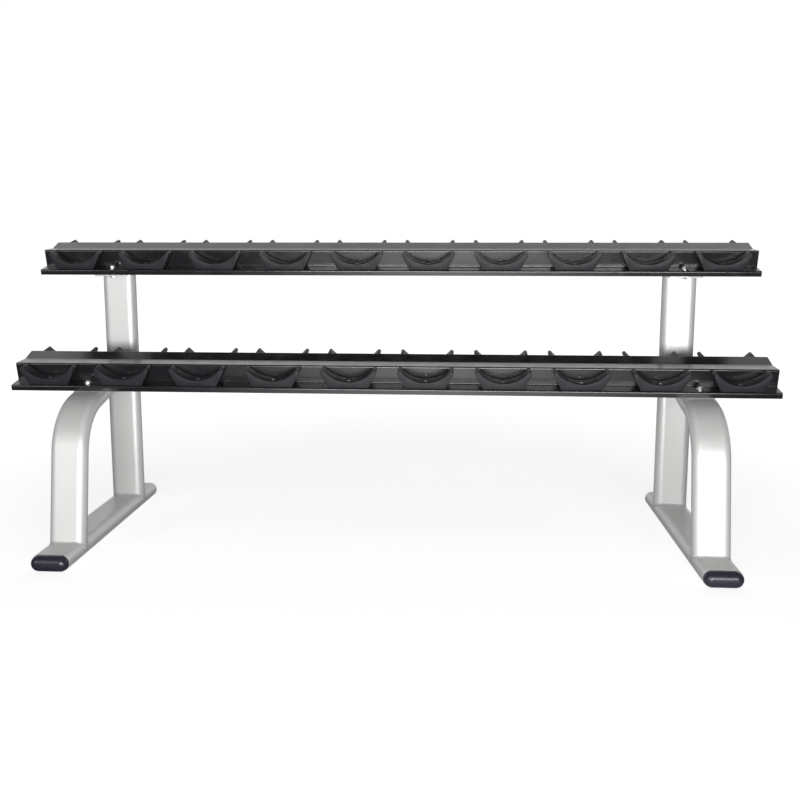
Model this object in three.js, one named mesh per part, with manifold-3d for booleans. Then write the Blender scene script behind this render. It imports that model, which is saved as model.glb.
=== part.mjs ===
// A two-tier dumbbell rack. Two welded side frames of flat-oval tube carry two folded steel trays,
// and each tray carries ten pairs of moulded saddles.
// Millimetres, +Z up, +X along the rack, -Y towards the user. The origin is on the floor, under the
// middle of the rack.
import * as THREE from 'three';
import { mergeVertices } from 'three/addons/utils/BufferGeometryUtils.js';
import Module from 'manifold-3d';

const wasm = await Module();
wasm.setup();

// Rack
const PLACES = 10;
const PITCH = 235;
const GAP = 0.3;

// Making solids: points closer than this are one, and joined pieces reach this far into each other.
const MERGE_DISTANCE = 0.001;
const JOIN_OVERLAP = 1;
const CUTTER_WIDTH = 300;
const CUTTER_HEIGHT = 500;

// Flat-oval tube of the side frames
const TUBE_WIDTH = 110;
const TUBE_DEPTH = 48;
const TUBE_WALL = 3;
const OVAL_STEPS = 6;
const FRAME_X = 4 * PITCH;

// Runners and their end caps
const RACK_DEPTH = 770;
const FRONT_CAP = { dome: 24, edge: 13 };
const REAR_CAP = { dome: 6, edge: 4 };
const CAP_PLUG = 25;
const CAP_PLAY = 0.5;
const CAP_STEPS = 4;

// Front legs: the centreline leans back, then bends to run parallel to the lower tray, to the upright.
// LEG_CORNER_Y is where the leaning line and the upper run would meet without the bend.
const LEG_LEAN = THREE.MathUtils.degToRad(8.5);
const LEG_CORNER_Y = -183;
const LEG_BEND_RADIUS = 154;
const LEG_BEND_STEPS = 9;
const LEG_FOOT_Z = 30;

// Rear uprights
const UPRIGHT_Y = 253;
const UPRIGHT_FOOT_Z = 28;

// Trays: the section is drawn in the tray's own tilted frame, u back from the front lip and v up
// from the lip's foot
const TRAY_LENGTH = 2350;
const TRAY_TILT = THREE.MathUtils.degToRad(12);
const TRAY_DEPTH = 216;
const SHEET = 3;
const FLOOR_V = 17.5;
const CHANNEL_FRONT_U = 50;
const CHANNEL_BACK_U = 166;
const WALL_TOP_V = 73;
const CREASE_U = 113;
const CREASE_V = 65;
const RIDGE_V = 75;
const FOLD_RADIUS = 4;
const FOLD_STEPS = 3;
const LOWER_LIP = { y: -71, z: 469.5 };
const UPPER_LIP = { y: 168, z: 819 };

// Mounting plates under the trays
const PLATE_WIDTH = 108;
const PLATE_THICK = 5;
const LOWER_PLATE_INSET = 14;
const UPPER_PLATE_INSET = 1;

// Tray bolts
const BOLT_U = 24;
const SHANK_RADIUS = 5;
const HOLE_RADIUS = 5.5;
const HEAD_RADIUS = 9.5;
const HEAD_HEIGHT = 6.5;
const WASHER_RADIUS = 12;
const WASHER_THICK = 2;
const NUT_RADIUS = 9.5;
const NUT_HEIGHT = 8;
const HEX_SIDES = 6;
const ROUND_SIDES = 24;

// Saddles: two round horns joined by a round cradle, on a narrower foot
const SADDLE_FOOT_WIDTH = 122;
const SADDLE_HEIGHT = 55;
const SADDLE_DEPTH = 40.5;
const SADDLE_FRONT_U = 5;
const CRADLE_BASE = 18;
const HORN_SPACING = 157;
const HORN_RADIUS = 6.5;
const CRADLE_STEPS = 12;
const HORN_STEPS = 5;

const SILVER = { color: 0xc6c8c7, roughness: 0.38, metalness: 0.35 };
const PLATE_SILVER = { color: 0xd9dad8, roughness: 0.35, metalness: 0.4 };
const BLACK_COAT = { color: 0x18181b, roughness: 0.22, metalness: 0.1 };
const SADDLE_BLACK = { color: 0x2b2a2e, roughness: 0.55, metalness: 0 };
const CAP_BLACK = { color: 0x1c1b24, roughness: 0.3, metalness: 0 };
const ZINC = { color: 0xe6e6e4, roughness: 0.25, metalness: 0.9 };

const rack = new THREE.Group();

/** Adds one named sub-part to a group. */
function addPart(parent, name, geometry, finish) {
  const mesh = new THREE.Mesh(geometry, new THREE.MeshStandardMaterial(finish));
  mesh.name = name;
  parent.add(mesh);
  return mesh;
}

/** Turns a closed geometry into a solid that can be joined and cut. */
function toSolid(geometry) {
  const bare = geometry.index ? geometry.toNonIndexed() : geometry.clone();
  bare.deleteAttribute('normal');
  bare.deleteAttribute('uv');
  const merged = mergeVertices(bare, MERGE_DISTANCE);
  return new wasm.Manifold(new wasm.Mesh({
    numProp: 3,
    vertProperties: new Float32Array(merged.attributes.position.array),
    triVerts: new Uint32Array(merged.index.array),
  }));
}

/** Turns a solid back into a geometry. */
function toGeometry(solid) {
  const mesh = solid.getMesh();
  const geometry = new THREE.BufferGeometry();
  geometry.setAttribute('position', new THREE.BufferAttribute(mesh.vertProperties, mesh.numProp));
  geometry.setIndex(new THREE.BufferAttribute(mesh.triVerts, 1));
  const flat = geometry.toNonIndexed();
  flat.computeVertexNormals();
  return flat;
}

/** The tube's flat-oval outline, its width along the shape's x. */
function ovalShape(inset = 0) {
  const radius = TUBE_DEPTH / 2 - inset;
  const reach = (TUBE_WIDTH - TUBE_DEPTH) / 2;
  const shape = new THREE.Shape();
  shape.absarc(reach, 0, radius, -Math.PI / 2, Math.PI / 2, false);
  shape.absarc(-reach, 0, radius, Math.PI / 2, 1.5 * Math.PI, false);
  return shape;
}

/** The tube's section: the oval with its bore as a hole. */
function tubeShape() {
  const shape = ovalShape();
  shape.holes.push(ovalShape(TUBE_WALL));
  return shape;
}

/** A path given by stations, so that a straight stretch takes only its two ends. */
class StationPath extends THREE.Curve {
  constructor(stations) {
    super();
    this.stations = stations;
  }

  getPointAt(t) {
    return this.stations[Math.round(t * (this.stations.length - 1))].point.clone();
  }

  getTangentAt(t) {
    return this.stations[Math.round(t * (this.stations.length - 1))].tangent.clone();
  }

  getPoint(t) {
    return this.getPointAt(t);
  }
}

/** A shape swept through leaning stations in one upright plane, its x along the rack. */
function sweep(shape, stations) {
  return new THREE.ExtrudeGeometry(shape, {
    steps: stations.length - 1,
    extrudePath: new StationPath(stations),
    curveSegments: OVAL_STEPS,
  });
}

/** A shape extruded straight up, its x along the rack. */
function upright(shape, y, fromZ, toZ) {
  const depth = toZ - fromZ;
  const geometry = new THREE.ExtrudeGeometry(shape, { depth, bevelEnabled: false, curveSegments: OVAL_STEPS });
  geometry.translate(0, y, fromZ);
  return geometry;
}

/** A shape extruded straight back, at a height, its x along the rack. */
function alongY(shape, fromY, toY, z) {
  const geometry = upright(shape, 0, -toY, -fromY);
  geometry.rotateX(Math.PI / 2);
  geometry.translate(0, 0, z);
  return geometry;
}

/** One station of a path in the YZ plane, heading at an angle back from straight up. */
function station(y, z, heading) {
  return {
    point: new THREE.Vector3(0, y, z),
    tangent: new THREE.Vector3(0, Math.sin(heading), Math.cos(heading)),
  };
}

/** The room that a runner takes up, with a little to spare, for cutting what stands on it. */
function runnerEnvelope() {
  return toSolid(alongY(ovalShape(-GAP), -RACK_DEPTH / 2, RACK_DEPTH / 2, TUBE_DEPTH / 2));
}

/** The room that an upright takes up, with a little to spare. */
function uprightEnvelope() {
  return toSolid(upright(ovalShape(-GAP), UPRIGHT_Y, 0, UPPER_LIP.z));
}

/** The distance from the middle of the rack to where a cap sits on the runner's end. */
function capSeat(cap) {
  return RACK_DEPTH / 2 - cap.dome;
}

function makeRunner() {
  return alongY(tubeShape(), GAP - capSeat(FRONT_CAP), capSeat(REAR_CAP) - GAP, TUBE_DEPTH / 2);
}

/** An end cap facing -Y: a domed face as large as the tube, and a plug that fits the bore. */
function makeEndCap(cap) {
  const seat = -capSeat(cap);
  const dome = new THREE.ExtrudeGeometry(ovalShape(cap.edge), {
    depth: CAP_PLUG,
    bevelEnabled: true,
    bevelSize: cap.edge,
    bevelThickness: cap.dome,
    bevelSegments: CAP_STEPS,
    curveSegments: OVAL_STEPS,
  });
  dome.rotateX(-Math.PI / 2);
  dome.translate(0, seat, TUBE_DEPTH / 2);
  const behind = new THREE.BoxGeometry(CUTTER_WIDTH, CUTTER_WIDTH, CUTTER_WIDTH);
  behind.translate(0, seat + CUTTER_WIDTH / 2, TUBE_DEPTH / 2);
  const plug = alongY(ovalShape(TUBE_WALL + CAP_PLAY), seat - JOIN_OVERLAP, seat + CAP_PLUG, TUBE_DEPTH / 2);
  return toGeometry(toSolid(dome).subtract(toSolid(behind)).add(toSolid(plug)));
}

/** The leg's upper run: where its centreline, parallel to the tray above it, passes a given y. */
function legRunPoint(y) {
  const v = -PLATE_THICK - 2 * GAP - TUBE_DEPTH / 2;
  const z = LOWER_LIP.z + (y - LOWER_LIP.y) * Math.tan(TRAY_TILT) + v / Math.cos(TRAY_TILT);
  return new THREE.Vector2(y, z);
}

/** The front leg's stations, from the runner, through the bend, to the middle of the upright. */
function legStations() {
  const runHeading = Math.PI / 2 - TRAY_TILT;
  const reach = LEG_BEND_RADIUS * Math.tan((runHeading - LEG_LEAN) / 2);
  const up = new THREE.Vector2(Math.sin(LEG_LEAN), Math.cos(LEG_LEAN));
  const bend = legRunPoint(LEG_CORNER_Y).addScaledVector(up, -reach);
  const centre = bend.clone().addScaledVector(new THREE.Vector2(up.y, -up.x), LEG_BEND_RADIUS);
  const footY = bend.x - (bend.y - LEG_FOOT_Z) * Math.tan(LEG_LEAN);
  const stations = [station(footY, LEG_FOOT_Z, LEG_LEAN)];
  for (let i = 0; i <= LEG_BEND_STEPS; i += 1) {
    const heading = LEG_LEAN + (runHeading - LEG_LEAN) * (i / LEG_BEND_STEPS);
    const y = centre.x - LEG_BEND_RADIUS * Math.cos(heading);
    const z = centre.y + LEG_BEND_RADIUS * Math.sin(heading);
    stations.push(station(y, z, heading));
  }
  const end = legRunPoint(UPRIGHT_Y);
  stations.push(station(end.x, end.y, runHeading));
  return stations;
}

function makeFrontLeg() {
  const tube = toSolid(sweep(tubeShape(), legStations()));
  return toGeometry(tube.subtract(runnerEnvelope()).subtract(uprightEnvelope()));
}

/** Where a point of a tray's tilted frame lies in the rack's YZ plane. */
function onTray(lip, u, v) {
  return {
    y: lip.y + u * Math.cos(TRAY_TILT) - v * Math.sin(TRAY_TILT),
    z: lip.z + u * Math.sin(TRAY_TILT) + v * Math.cos(TRAY_TILT),
  };
}

/** An upright: coped over the runner, and cut off level with the underside of the upper plate. */
function makeUpright() {
  const tube = toSolid(upright(tubeShape(), UPRIGHT_Y, UPRIGHT_FOOT_Z, UPPER_LIP.z + TRAY_DEPTH));
  const above = new THREE.BoxGeometry(CUTTER_WIDTH, CUTTER_HEIGHT, CUTTER_HEIGHT);
  above.translate(0, 0, CUTTER_HEIGHT / 2);
  above.rotateX(TRAY_TILT);
  const cut = onTray(UPPER_LIP, 0, -PLATE_THICK - 2 * GAP);
  above.translate(0, cut.y, cut.z);
  return toGeometry(tube.subtract(runnerEnvelope()).subtract(toSolid(above)));
}

/** A group whose children are drawn in a tray's tilted frame: x along the rack, y = u, z = v. */
function trayFrame(lip) {
  const frame = new THREE.Group();
  frame.position.set(0, lip.y, lip.z);
  frame.rotation.x = TRAY_TILT;
  rack.add(frame);
  return frame;
}

/** The tray's upper surface, fold by fold, from the front lip's foot to the rear lip's foot. */
function trayFolds() {
  return [
    [0, 0],
    [0, FLOOR_V],
    [CHANNEL_FRONT_U, FLOOR_V],
    [CHANNEL_FRONT_U, WALL_TOP_V],
    [CREASE_U, CREASE_V],
    [CHANNEL_BACK_U, RIDGE_V],
    [CHANNEL_BACK_U, FLOOR_V],
    [TRAY_DEPTH, FLOOR_V],
    [TRAY_DEPTH, 0],
  ].map(([u, v]) => new THREE.Vector2(u, v));
}

/** A folded line moved sideways by a distance, to its right. */
function offsetLine(points, distance) {
  return points.map((point, i) => {
    const before = points[Math.max(i - 1, 0)];
    const after = points[Math.min(i + 1, points.length - 1)];
    const into = (i > 0 ? point.clone().sub(before) : after.clone().sub(point)).normalize();
    const out = (i < points.length - 1 ? after.clone().sub(point) : point.clone().sub(before)).normalize();
    const right = new THREE.Vector2(into.y + out.y, -into.x - out.x);
    const scale = distance / (1 + into.dot(out));
    return point.clone().addScaledVector(right, scale);
  });
}

/** A folded line with its corners rounded. */
function roundFolds(points, radius) {
  const rounded = [points[0]];
  for (let i = 1; i < points.length - 1; i += 1) {
    const into = points[i - 1].clone().sub(points[i]).normalize();
    const out = points[i + 1].clone().sub(points[i]).normalize();
    const bend = new THREE.QuadraticBezierCurve(
      points[i].clone().addScaledVector(into, radius),
      points[i],
      points[i].clone().addScaledVector(out, radius),
    );
    rounded.push(...bend.getPoints(FOLD_STEPS));
  }
  rounded.push(points[points.length - 1]);
  return rounded;
}

/** The tray sheet's closed outline. */
function trayShape() {
  const upper = roundFolds(trayFolds(), FOLD_RADIUS);
  const lower = roundFolds(offsetLine(trayFolds(), SHEET), FOLD_RADIUS);
  return new THREE.Shape([...upper, ...lower.reverse()]);
}

/** Extrudes a shape drawn in (u, v) along x, centred on x = 0. */
function alongX(shape, length, curveSegments = OVAL_STEPS) {
  const geometry = new THREE.ExtrudeGeometry(shape, { depth: length, bevelEnabled: false, curveSegments });
  geometry.translate(0, 0, -length / 2);
  geometry.rotateX(Math.PI / 2);
  geometry.rotateZ(Math.PI / 2);
  return geometry;
}

/** A round or hexagonal bar along v, from one height to another. */
function barAlongV(radius, sides, fromV, toV, x, u) {
  const bar = new THREE.CylinderGeometry(radius, radius, toV - fromV, sides);
  bar.rotateX(Math.PI / 2);
  bar.translate(x, u, (fromV + toV) / 2);
  return bar;
}

/** Cuts the two bolt holes of each side frame in the list through a solid. */
function drillBoltHoles(solid, frameXs) {
  let drilled = solid;
  for (const x of frameXs) {
    for (const u of [BOLT_U, TRAY_DEPTH - BOLT_U]) {
      drilled = drilled.subtract(toSolid(barAlongV(HOLE_RADIUS, ROUND_SIDES, -TRAY_DEPTH, TRAY_DEPTH, x, u)));
    }
  }
  return drilled;
}

function makeTray() {
  return toGeometry(drillBoltHoles(toSolid(alongX(trayShape(), TRAY_LENGTH)), [-FRAME_X, FRAME_X]));
}

/** A mounting plate in the tray's frame, at x = 0, set back from the tray's edges by an inset. */
function makePlate(inset) {
  const plate = new THREE.BoxGeometry(PLATE_WIDTH, TRAY_DEPTH - 2 * inset, PLATE_THICK);
  plate.translate(0, TRAY_DEPTH / 2, -GAP - PLATE_THICK / 2);
  return toGeometry(drillBoltHoles(toSolid(plate), [0]));
}

/** A bolt with its washer under the head, and with a nut under the plate where there is room. */
function makeBolt(hasNut) {
  const washerFoot = FLOOR_V + GAP;
  const headFoot = washerFoot + WASHER_THICK;
  const nutTop = -PLATE_THICK - 2 * GAP;
  const tip = hasNut ? nutTop - NUT_HEIGHT - WASHER_THICK : -PLATE_THICK;
  let bolt = toSolid(barAlongV(SHANK_RADIUS, ROUND_SIDES, tip, headFoot, 0, BOLT_U));
  bolt = bolt.add(toSolid(barAlongV(WASHER_RADIUS, ROUND_SIDES, washerFoot, headFoot, 0, BOLT_U)));
  const headTop = headFoot + HEAD_HEIGHT;
  bolt = bolt.add(toSolid(barAlongV(HEAD_RADIUS, HEX_SIDES, headFoot - GAP, headTop, 0, BOLT_U)));
  if (hasNut) {
    bolt = bolt.add(toSolid(barAlongV(NUT_RADIUS, HEX_SIDES, nutTop - NUT_HEIGHT, nutTop, 0, BOLT_U)));
  }
  return toGeometry(bolt);
}

/**
 * The saddle's outline, seen from the front. The cradle's circle touches both horns' circles, and
 * the slanting sides run from the foot's corners to touch the horns.
 */
function saddleShape() {
  const hornX = HORN_SPACING / 2;
  const hornY = SADDLE_HEIGHT - HORN_RADIUS;
  const rise = hornY - CRADLE_BASE;
  const cradle = (hornX ** 2 + rise ** 2 - HORN_RADIUS ** 2) / (2 * (rise + HORN_RADIUS));
  const cradleY = CRADLE_BASE + cradle;
  const touch = Math.atan2(cradleY - hornY, hornX);
  const footX = SADDLE_FOOT_WIDTH / 2;
  const slant = Math.atan2(hornY, hornX - footX) - Math.asin(HORN_RADIUS / Math.hypot(hornX - footX, hornY));
  const side = slant - Math.PI / 2;
  const right = arcPoints(hornX, hornY, HORN_RADIUS, side, Math.PI - touch, HORN_STEPS);
  const hollow = arcPoints(0, cradleY, cradle, -touch, touch - Math.PI, CRADLE_STEPS).slice(1, -1);
  const left = arcPoints(-hornX, hornY, HORN_RADIUS, touch, Math.PI - side, HORN_STEPS);
  const foot = [new THREE.Vector2(-footX, 0), new THREE.Vector2(footX, 0)];
  return new THREE.Shape([...foot, ...right, ...hollow, ...left]);
}

/** Points along a circle from one angle to another. */
function arcPoints(x, y, radius, from, to, steps) {
  const points = [];
  for (let i = 0; i <= steps; i += 1) {
    const angle = from + (to - from) * (i / steps);
    points.push(new THREE.Vector2(x + radius * Math.cos(angle), y + radius * Math.sin(angle)));
  }
  return points;
}

/** A saddle standing on v = 0, its front face at u = 0. */
function makeSaddle() {
  const saddle = new THREE.ExtrudeGeometry(saddleShape(), { depth: SADDLE_DEPTH, bevelEnabled: false });
  saddle.rotateX(Math.PI / 2);
  saddle.translate(0, SADDLE_DEPTH, 0);
  return saddle;
}

/** One side frame: a runner with its caps, a leg and an upright. */
function addSideFrame(side, x) {
  const frame = new THREE.Group();
  frame.position.x = x;
  rack.add(frame);
  addPart(frame, `${side}_base_runner`, makeRunner(), SILVER);
  addPart(frame, `${side}_front_leg`, makeFrontLeg(), SILVER);
  addPart(frame, `${side}_rear_upright`, makeUpright(), SILVER);
  addPart(frame, `${side}_front_end_cap`, makeEndCap(FRONT_CAP), CAP_BLACK);
  const rearCap = addPart(frame, `${side}_rear_end_cap`, makeEndCap(REAR_CAP), CAP_BLACK);
  rearCap.rotation.z = Math.PI;
}

/** One tier: a tray, its saddles, its mounting plates and its front bolts. */
function addTier(tier, lip, plateInset, boltHasNut) {
  const frame = trayFrame(lip);
  addPart(frame, `${tier}_tray`, makeTray(), BLACK_COAT);
  for (const [side, x] of [['left', -FRAME_X], ['right', FRAME_X]]) {
    addPart(frame, `${tier}_${side}_mounting_plate`, makePlate(plateInset), PLATE_SILVER).position.x = x;
    addPart(frame, `${tier}_${side}_tray_bolt`, makeBolt(boltHasNut), ZINC).position.x = x;
  }
  const rows = { front: SADDLE_FRONT_U, rear: TRAY_DEPTH - SADDLE_FRONT_U - SADDLE_DEPTH };
  for (const [row, u] of Object.entries(rows)) {
    for (let i = 0; i < PLACES; i += 1) {
      const number = String(i + 1).padStart(2, '0');
      const saddle = addPart(frame, `${tier}_${row}_saddle_${number}`, makeSaddle(), SADDLE_BLACK);
      saddle.position.set((i - (PLACES - 1) / 2) * PITCH, u, FLOOR_V + GAP);
    }
  }
}

addSideFrame('left', -FRAME_X);
addSideFrame('right', FRAME_X);
addTier('lower', LOWER_LIP, LOWER_PLATE_INSET, false);
addTier('upper', UPPER_LIP, UPPER_PLATE_INSET, true);

export default rack;
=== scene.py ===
"""Looks for a two-tier dumbbell rack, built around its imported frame.

Two side frames of flat-oval tube carry two folded steel trays, and each tray carries ten pairs of
moulded saddles. Every length is in metres, in the frame's own axes: +X along the rack, -Y towards
the user and +Z up, with the floor at zero.
"""

from __future__ import annotations

import logging
import math
from dataclasses import dataclass, field
from enum import Enum
from typing import Iterable, Sequence

import bmesh
import bpy
from mathutils import Matrix, Vector


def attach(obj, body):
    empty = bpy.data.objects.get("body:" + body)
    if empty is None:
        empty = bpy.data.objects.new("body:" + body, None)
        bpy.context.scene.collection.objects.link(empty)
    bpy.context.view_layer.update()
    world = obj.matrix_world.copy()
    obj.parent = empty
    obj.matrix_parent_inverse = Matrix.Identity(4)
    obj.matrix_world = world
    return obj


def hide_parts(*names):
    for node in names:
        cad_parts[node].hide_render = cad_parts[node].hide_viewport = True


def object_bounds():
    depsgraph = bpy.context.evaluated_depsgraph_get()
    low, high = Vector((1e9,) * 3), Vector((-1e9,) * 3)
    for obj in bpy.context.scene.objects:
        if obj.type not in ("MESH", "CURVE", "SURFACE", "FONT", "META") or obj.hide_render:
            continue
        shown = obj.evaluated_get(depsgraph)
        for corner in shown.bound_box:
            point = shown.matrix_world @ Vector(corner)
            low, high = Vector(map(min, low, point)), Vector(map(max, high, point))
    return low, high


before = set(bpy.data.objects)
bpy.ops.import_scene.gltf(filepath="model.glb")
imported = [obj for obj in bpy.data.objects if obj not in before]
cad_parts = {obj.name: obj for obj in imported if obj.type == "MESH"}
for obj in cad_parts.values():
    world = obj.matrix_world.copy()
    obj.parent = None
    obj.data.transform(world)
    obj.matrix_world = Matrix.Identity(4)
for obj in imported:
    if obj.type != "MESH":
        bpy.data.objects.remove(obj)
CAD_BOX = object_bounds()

LOG = logging.getLogger("dumbbell_rack")
ROOT = "root"
MERGE_DISTANCE = 1e-6
AXIS_REACH = 1e-5
DRILL_SIDES = 32
EDGE_SEGMENTS = 2
TUBE_CREASE_DEG = 40.0
CUT_EDGE_DEG = 50.0
BOLT_CREASE_DEG = 22.0

Ring = list[Vector]
Outline = list[tuple[float, float]]
Color = tuple[float, float, float]
Span = tuple[float, float]


class Side(Enum):
    """The two side frames, by the name that their pieces begin with."""

    LEFT = "left"
    RIGHT = "right"


class Tier(Enum):
    """The two trays, by the name that their pieces begin with."""

    LOWER = "lower"
    UPPER = "upper"


class Row(Enum):
    """The two rows of saddles on a tray."""

    FRONT = "front"
    REAR = "rear"


class Slot(Enum):
    """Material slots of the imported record."""

    FRAME = "frame_silver"
    PLATE = "plate_silver"
    TRAY = "tray_black"
    SADDLE = "saddle_black"
    CAP = "cap_black"
    ZINC = "zinc"


# ---------------------------------------------------------------------------
# Shader helpers
# ---------------------------------------------------------------------------


class NodeGraph:
    """A small wrapper that adds and links nodes in one tree."""

    def __init__(self, tree: bpy.types.NodeTree) -> None:
        """Starts from an empty tree.

        Args:
            tree: The node tree to fill.
        """
        self.tree = tree
        tree.nodes.clear()

    def add(self, kind: str, **settings: object) -> bpy.types.Node:
        """Adds a node and sets its properties or input values.

        Args:
            kind: The node's type name.
            **settings: Properties of the node, or input values by socket name with spaces as
                underscores.

        Returns:
            The new node.
        """
        node = self.tree.nodes.new(kind)
        for key, value in settings.items():
            if hasattr(node, key):
                setattr(node, key, value)
            else:
                node.inputs[key.replace("_", " ")].default_value = value
        return node

    def link(self, source: bpy.types.NodeSocket, target: bpy.types.NodeSocket) -> None:
        """Joins an output to an input."""
        self.tree.links.new(source, target)

    def feed(self, target: bpy.types.NodeSocket, value: object) -> None:
        """Gives an input a value.

        Args:
            target: The input.
            value: A socket to link, or the value to set.
        """
        if isinstance(value, bpy.types.NodeSocket):
            self.link(value, target)
        else:
            target.default_value = value

    def math(self, operation: str, first: bpy.types.NodeSocket,
             second: bpy.types.NodeSocket | float) -> bpy.types.NodeSocket:
        """Adds a math node.

        Args:
            operation: The node's operation.
            first: Its first input.
            second: Its second input, a socket or a number.

        Returns:
            The result.
        """
        node = self.add("ShaderNodeMath", operation=operation)
        self.feed(node.inputs[0], first)
        self.feed(node.inputs[1], second)
        return node.outputs["Value"]

    def vector(self, **parts: bpy.types.NodeSocket) -> bpy.types.NodeSocket:
        """Adds a vector.

        Args:
            **parts: Its X, Y and Z; zero where left out.

        Returns:
            The vector.
        """
        node = self.add("ShaderNodeCombineXYZ")
        for axis, value in parts.items():
            self.link(value, node.inputs[axis])
        return node.outputs[0]

    def split(self, vector: bpy.types.NodeSocket) -> bpy.types.NodeOutputs:
        """Takes a vector apart.

        Args:
            vector: The vector.

        Returns:
            Its outputs X, Y and Z.
        """
        node = self.add("ShaderNodeSeparateXYZ")
        self.link(vector, node.inputs[0])
        return node.outputs


class ShaderGraph(NodeGraph):
    """Shader nodes for one material."""

    def coordinates(self) -> bpy.types.NodeSocket:
        """Returns the object coordinates."""
        return self.add("ShaderNodeTexCoord").outputs["Object"]

    def stretched(self, scale: Sequence[float]) -> bpy.types.NodeSocket:
        """Returns object coordinates scaled differently along each axis.

        Args:
            scale: The factor along x, y and z.

        Returns:
            The scaled coordinates.
        """
        mapping = self.add("ShaderNodeMapping")
        mapping.inputs["Scale"].default_value = tuple(scale)
        self.link(self.coordinates(), mapping.inputs["Vector"])
        return mapping.outputs["Vector"]

    def noise(self, scale: float, detail: float = 2.0, rough: float = 0.5,
              vector: bpy.types.NodeSocket | None = None) -> bpy.types.NodeSocket:
        """Adds fractal noise.

        Args:
            scale: Features per metre.
            detail: Octaves.
            rough: How strong the fine octaves are.
            vector: Where to read it; the object coordinates if left out.

        Returns:
            The noise value, from 0 to 1.
        """
        node = self.add("ShaderNodeTexNoise", Scale=scale, Detail=detail, Roughness=rough)
        self.link(vector or self.coordinates(), node.inputs["Vector"])
        return node.outputs["Fac"]

    def cells(self, scale: float, output: str = "Distance") -> bpy.types.NodeSocket:
        """Adds a cell pattern.

        Args:
            scale: Cells per metre.
            output: Which result to use.

        Returns:
            The chosen output.
        """
        node = self.add("ShaderNodeTexVoronoi", Scale=scale)
        self.link(self.coordinates(), node.inputs["Vector"])
        return node.outputs[output]

    def ramp(self, value: bpy.types.NodeSocket, low: float, high: float,
             to_low: float = 0.0, to_high: float = 1.0) -> bpy.types.NodeSocket:
        """Maps a value from one range to another, clamped.

        Args:
            value: The value to map.
            low: Start of the range it comes from.
            high: End of the range it comes from.
            to_low: Result at the start.
            to_high: Result at the end.

        Returns:
            The mapped value.
        """
        node = self.add("ShaderNodeMapRange", clamp=True)
        self.link(value, node.inputs["Value"])
        for name, number in zip(("From Min", "From Max", "To Min", "To Max"), (low, high, to_low, to_high)):
            node.inputs[name].default_value = number
        return node.outputs["Result"]

    def mix(self, factor: bpy.types.NodeSocket, first: object, second: object) -> bpy.types.NodeSocket:
        """Mixes two colours.

        Args:
            factor: How much of the second colour shows.
            first: A colour socket, or an RGB triple.
            second: A colour socket, or an RGB triple.

        Returns:
            The mixed colour.
        """
        node = self.add("ShaderNodeMix", data_type="RGBA")
        self.link(factor, node.inputs[0])
        for socket, color in ((node.inputs[6], first), (node.inputs[7], second)):
            self.feed(socket, color if isinstance(color, bpy.types.NodeSocket) else (*color, 1.0))
        return node.outputs[2]

    def choose(self, factor: bpy.types.NodeSocket, first: bpy.types.NodeSocket | float,
               second: bpy.types.NodeSocket | float) -> bpy.types.NodeSocket:
        """Blends two values.

        Args:
            factor: How much of the second value counts.
            first: A socket or a number.
            second: A socket or a number.

        Returns:
            The blended value.
        """
        node = self.add("ShaderNodeMix", data_type="FLOAT")
        self.link(factor, node.inputs[0])
        self.feed(node.inputs[2], first)
        self.feed(node.inputs[3], second)
        return node.outputs[0]

    def upward(self, low: float, high: float) -> bpy.types.NodeSocket:
        """Returns how much a surface faces up.

        Args:
            low: The normal's z where the result starts to rise from 0.
            high: The normal's z where the result reaches 1.

        Returns:
            The share, from 0 to 1.
        """
        normal = self.add("ShaderNodeNewGeometry").outputs["Normal"]
        return self.ramp(self.split(normal)["Z"], low, high)

    def height(self, low: float, high: float) -> bpy.types.NodeSocket:
        """Returns 0 below a height, rising to 1 at another.

        Args:
            low: Height of the 0.
            high: Height of the 1.

        Returns:
            The share, from 0 to 1.
        """
        return self.ramp(self.split(self.coordinates())["Z"], low, high)

    def bump(self, layers: Iterable[tuple[bpy.types.NodeSocket, float, float]]) -> bpy.types.NodeSocket:
        """Stacks bump layers.

        Args:
            layers: Each layer's height, strength and depth in metres.

        Returns:
            The bumped normal.
        """
        normal = None
        for height, strength, distance in layers:
            node = self.add("ShaderNodeBump", Strength=strength, Distance=distance)
            self.link(height, node.inputs["Height"])
            if normal is not None:
                self.link(normal, node.inputs["Normal"])
            normal = node.outputs["Normal"]
        return normal

    def surface(self, color: bpy.types.NodeSocket, rough: bpy.types.NodeSocket,
                normal: bpy.types.NodeSocket, **constants: object) -> None:
        """Finishes the tree with one principled shader.

        Args:
            color: The base colour.
            rough: The roughness.
            normal: The bumped normal.
            **constants: Values set on the shader's own sockets.
        """
        shader = self.add("ShaderNodeBsdfPrincipled", **constants)
        self.link(color, shader.inputs["Base Color"])
        self.link(rough, shader.inputs["Roughness"])
        self.link(normal, shader.inputs["Normal"])
        output = self.add("ShaderNodeOutputMaterial")
        self.link(shader.outputs[0], output.inputs["Surface"])


def new_material(name: str) -> tuple[bpy.types.Material, ShaderGraph]:
    """Makes an empty node material.

    Args:
        name: The material's name.

    Returns:
        The material, and a graph to fill.
    """
    material = bpy.data.materials.new(name)
    material.use_nodes = True
    return material, ShaderGraph(material.node_tree)


# ---------------------------------------------------------------------------
# Finishes
# ---------------------------------------------------------------------------


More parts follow.
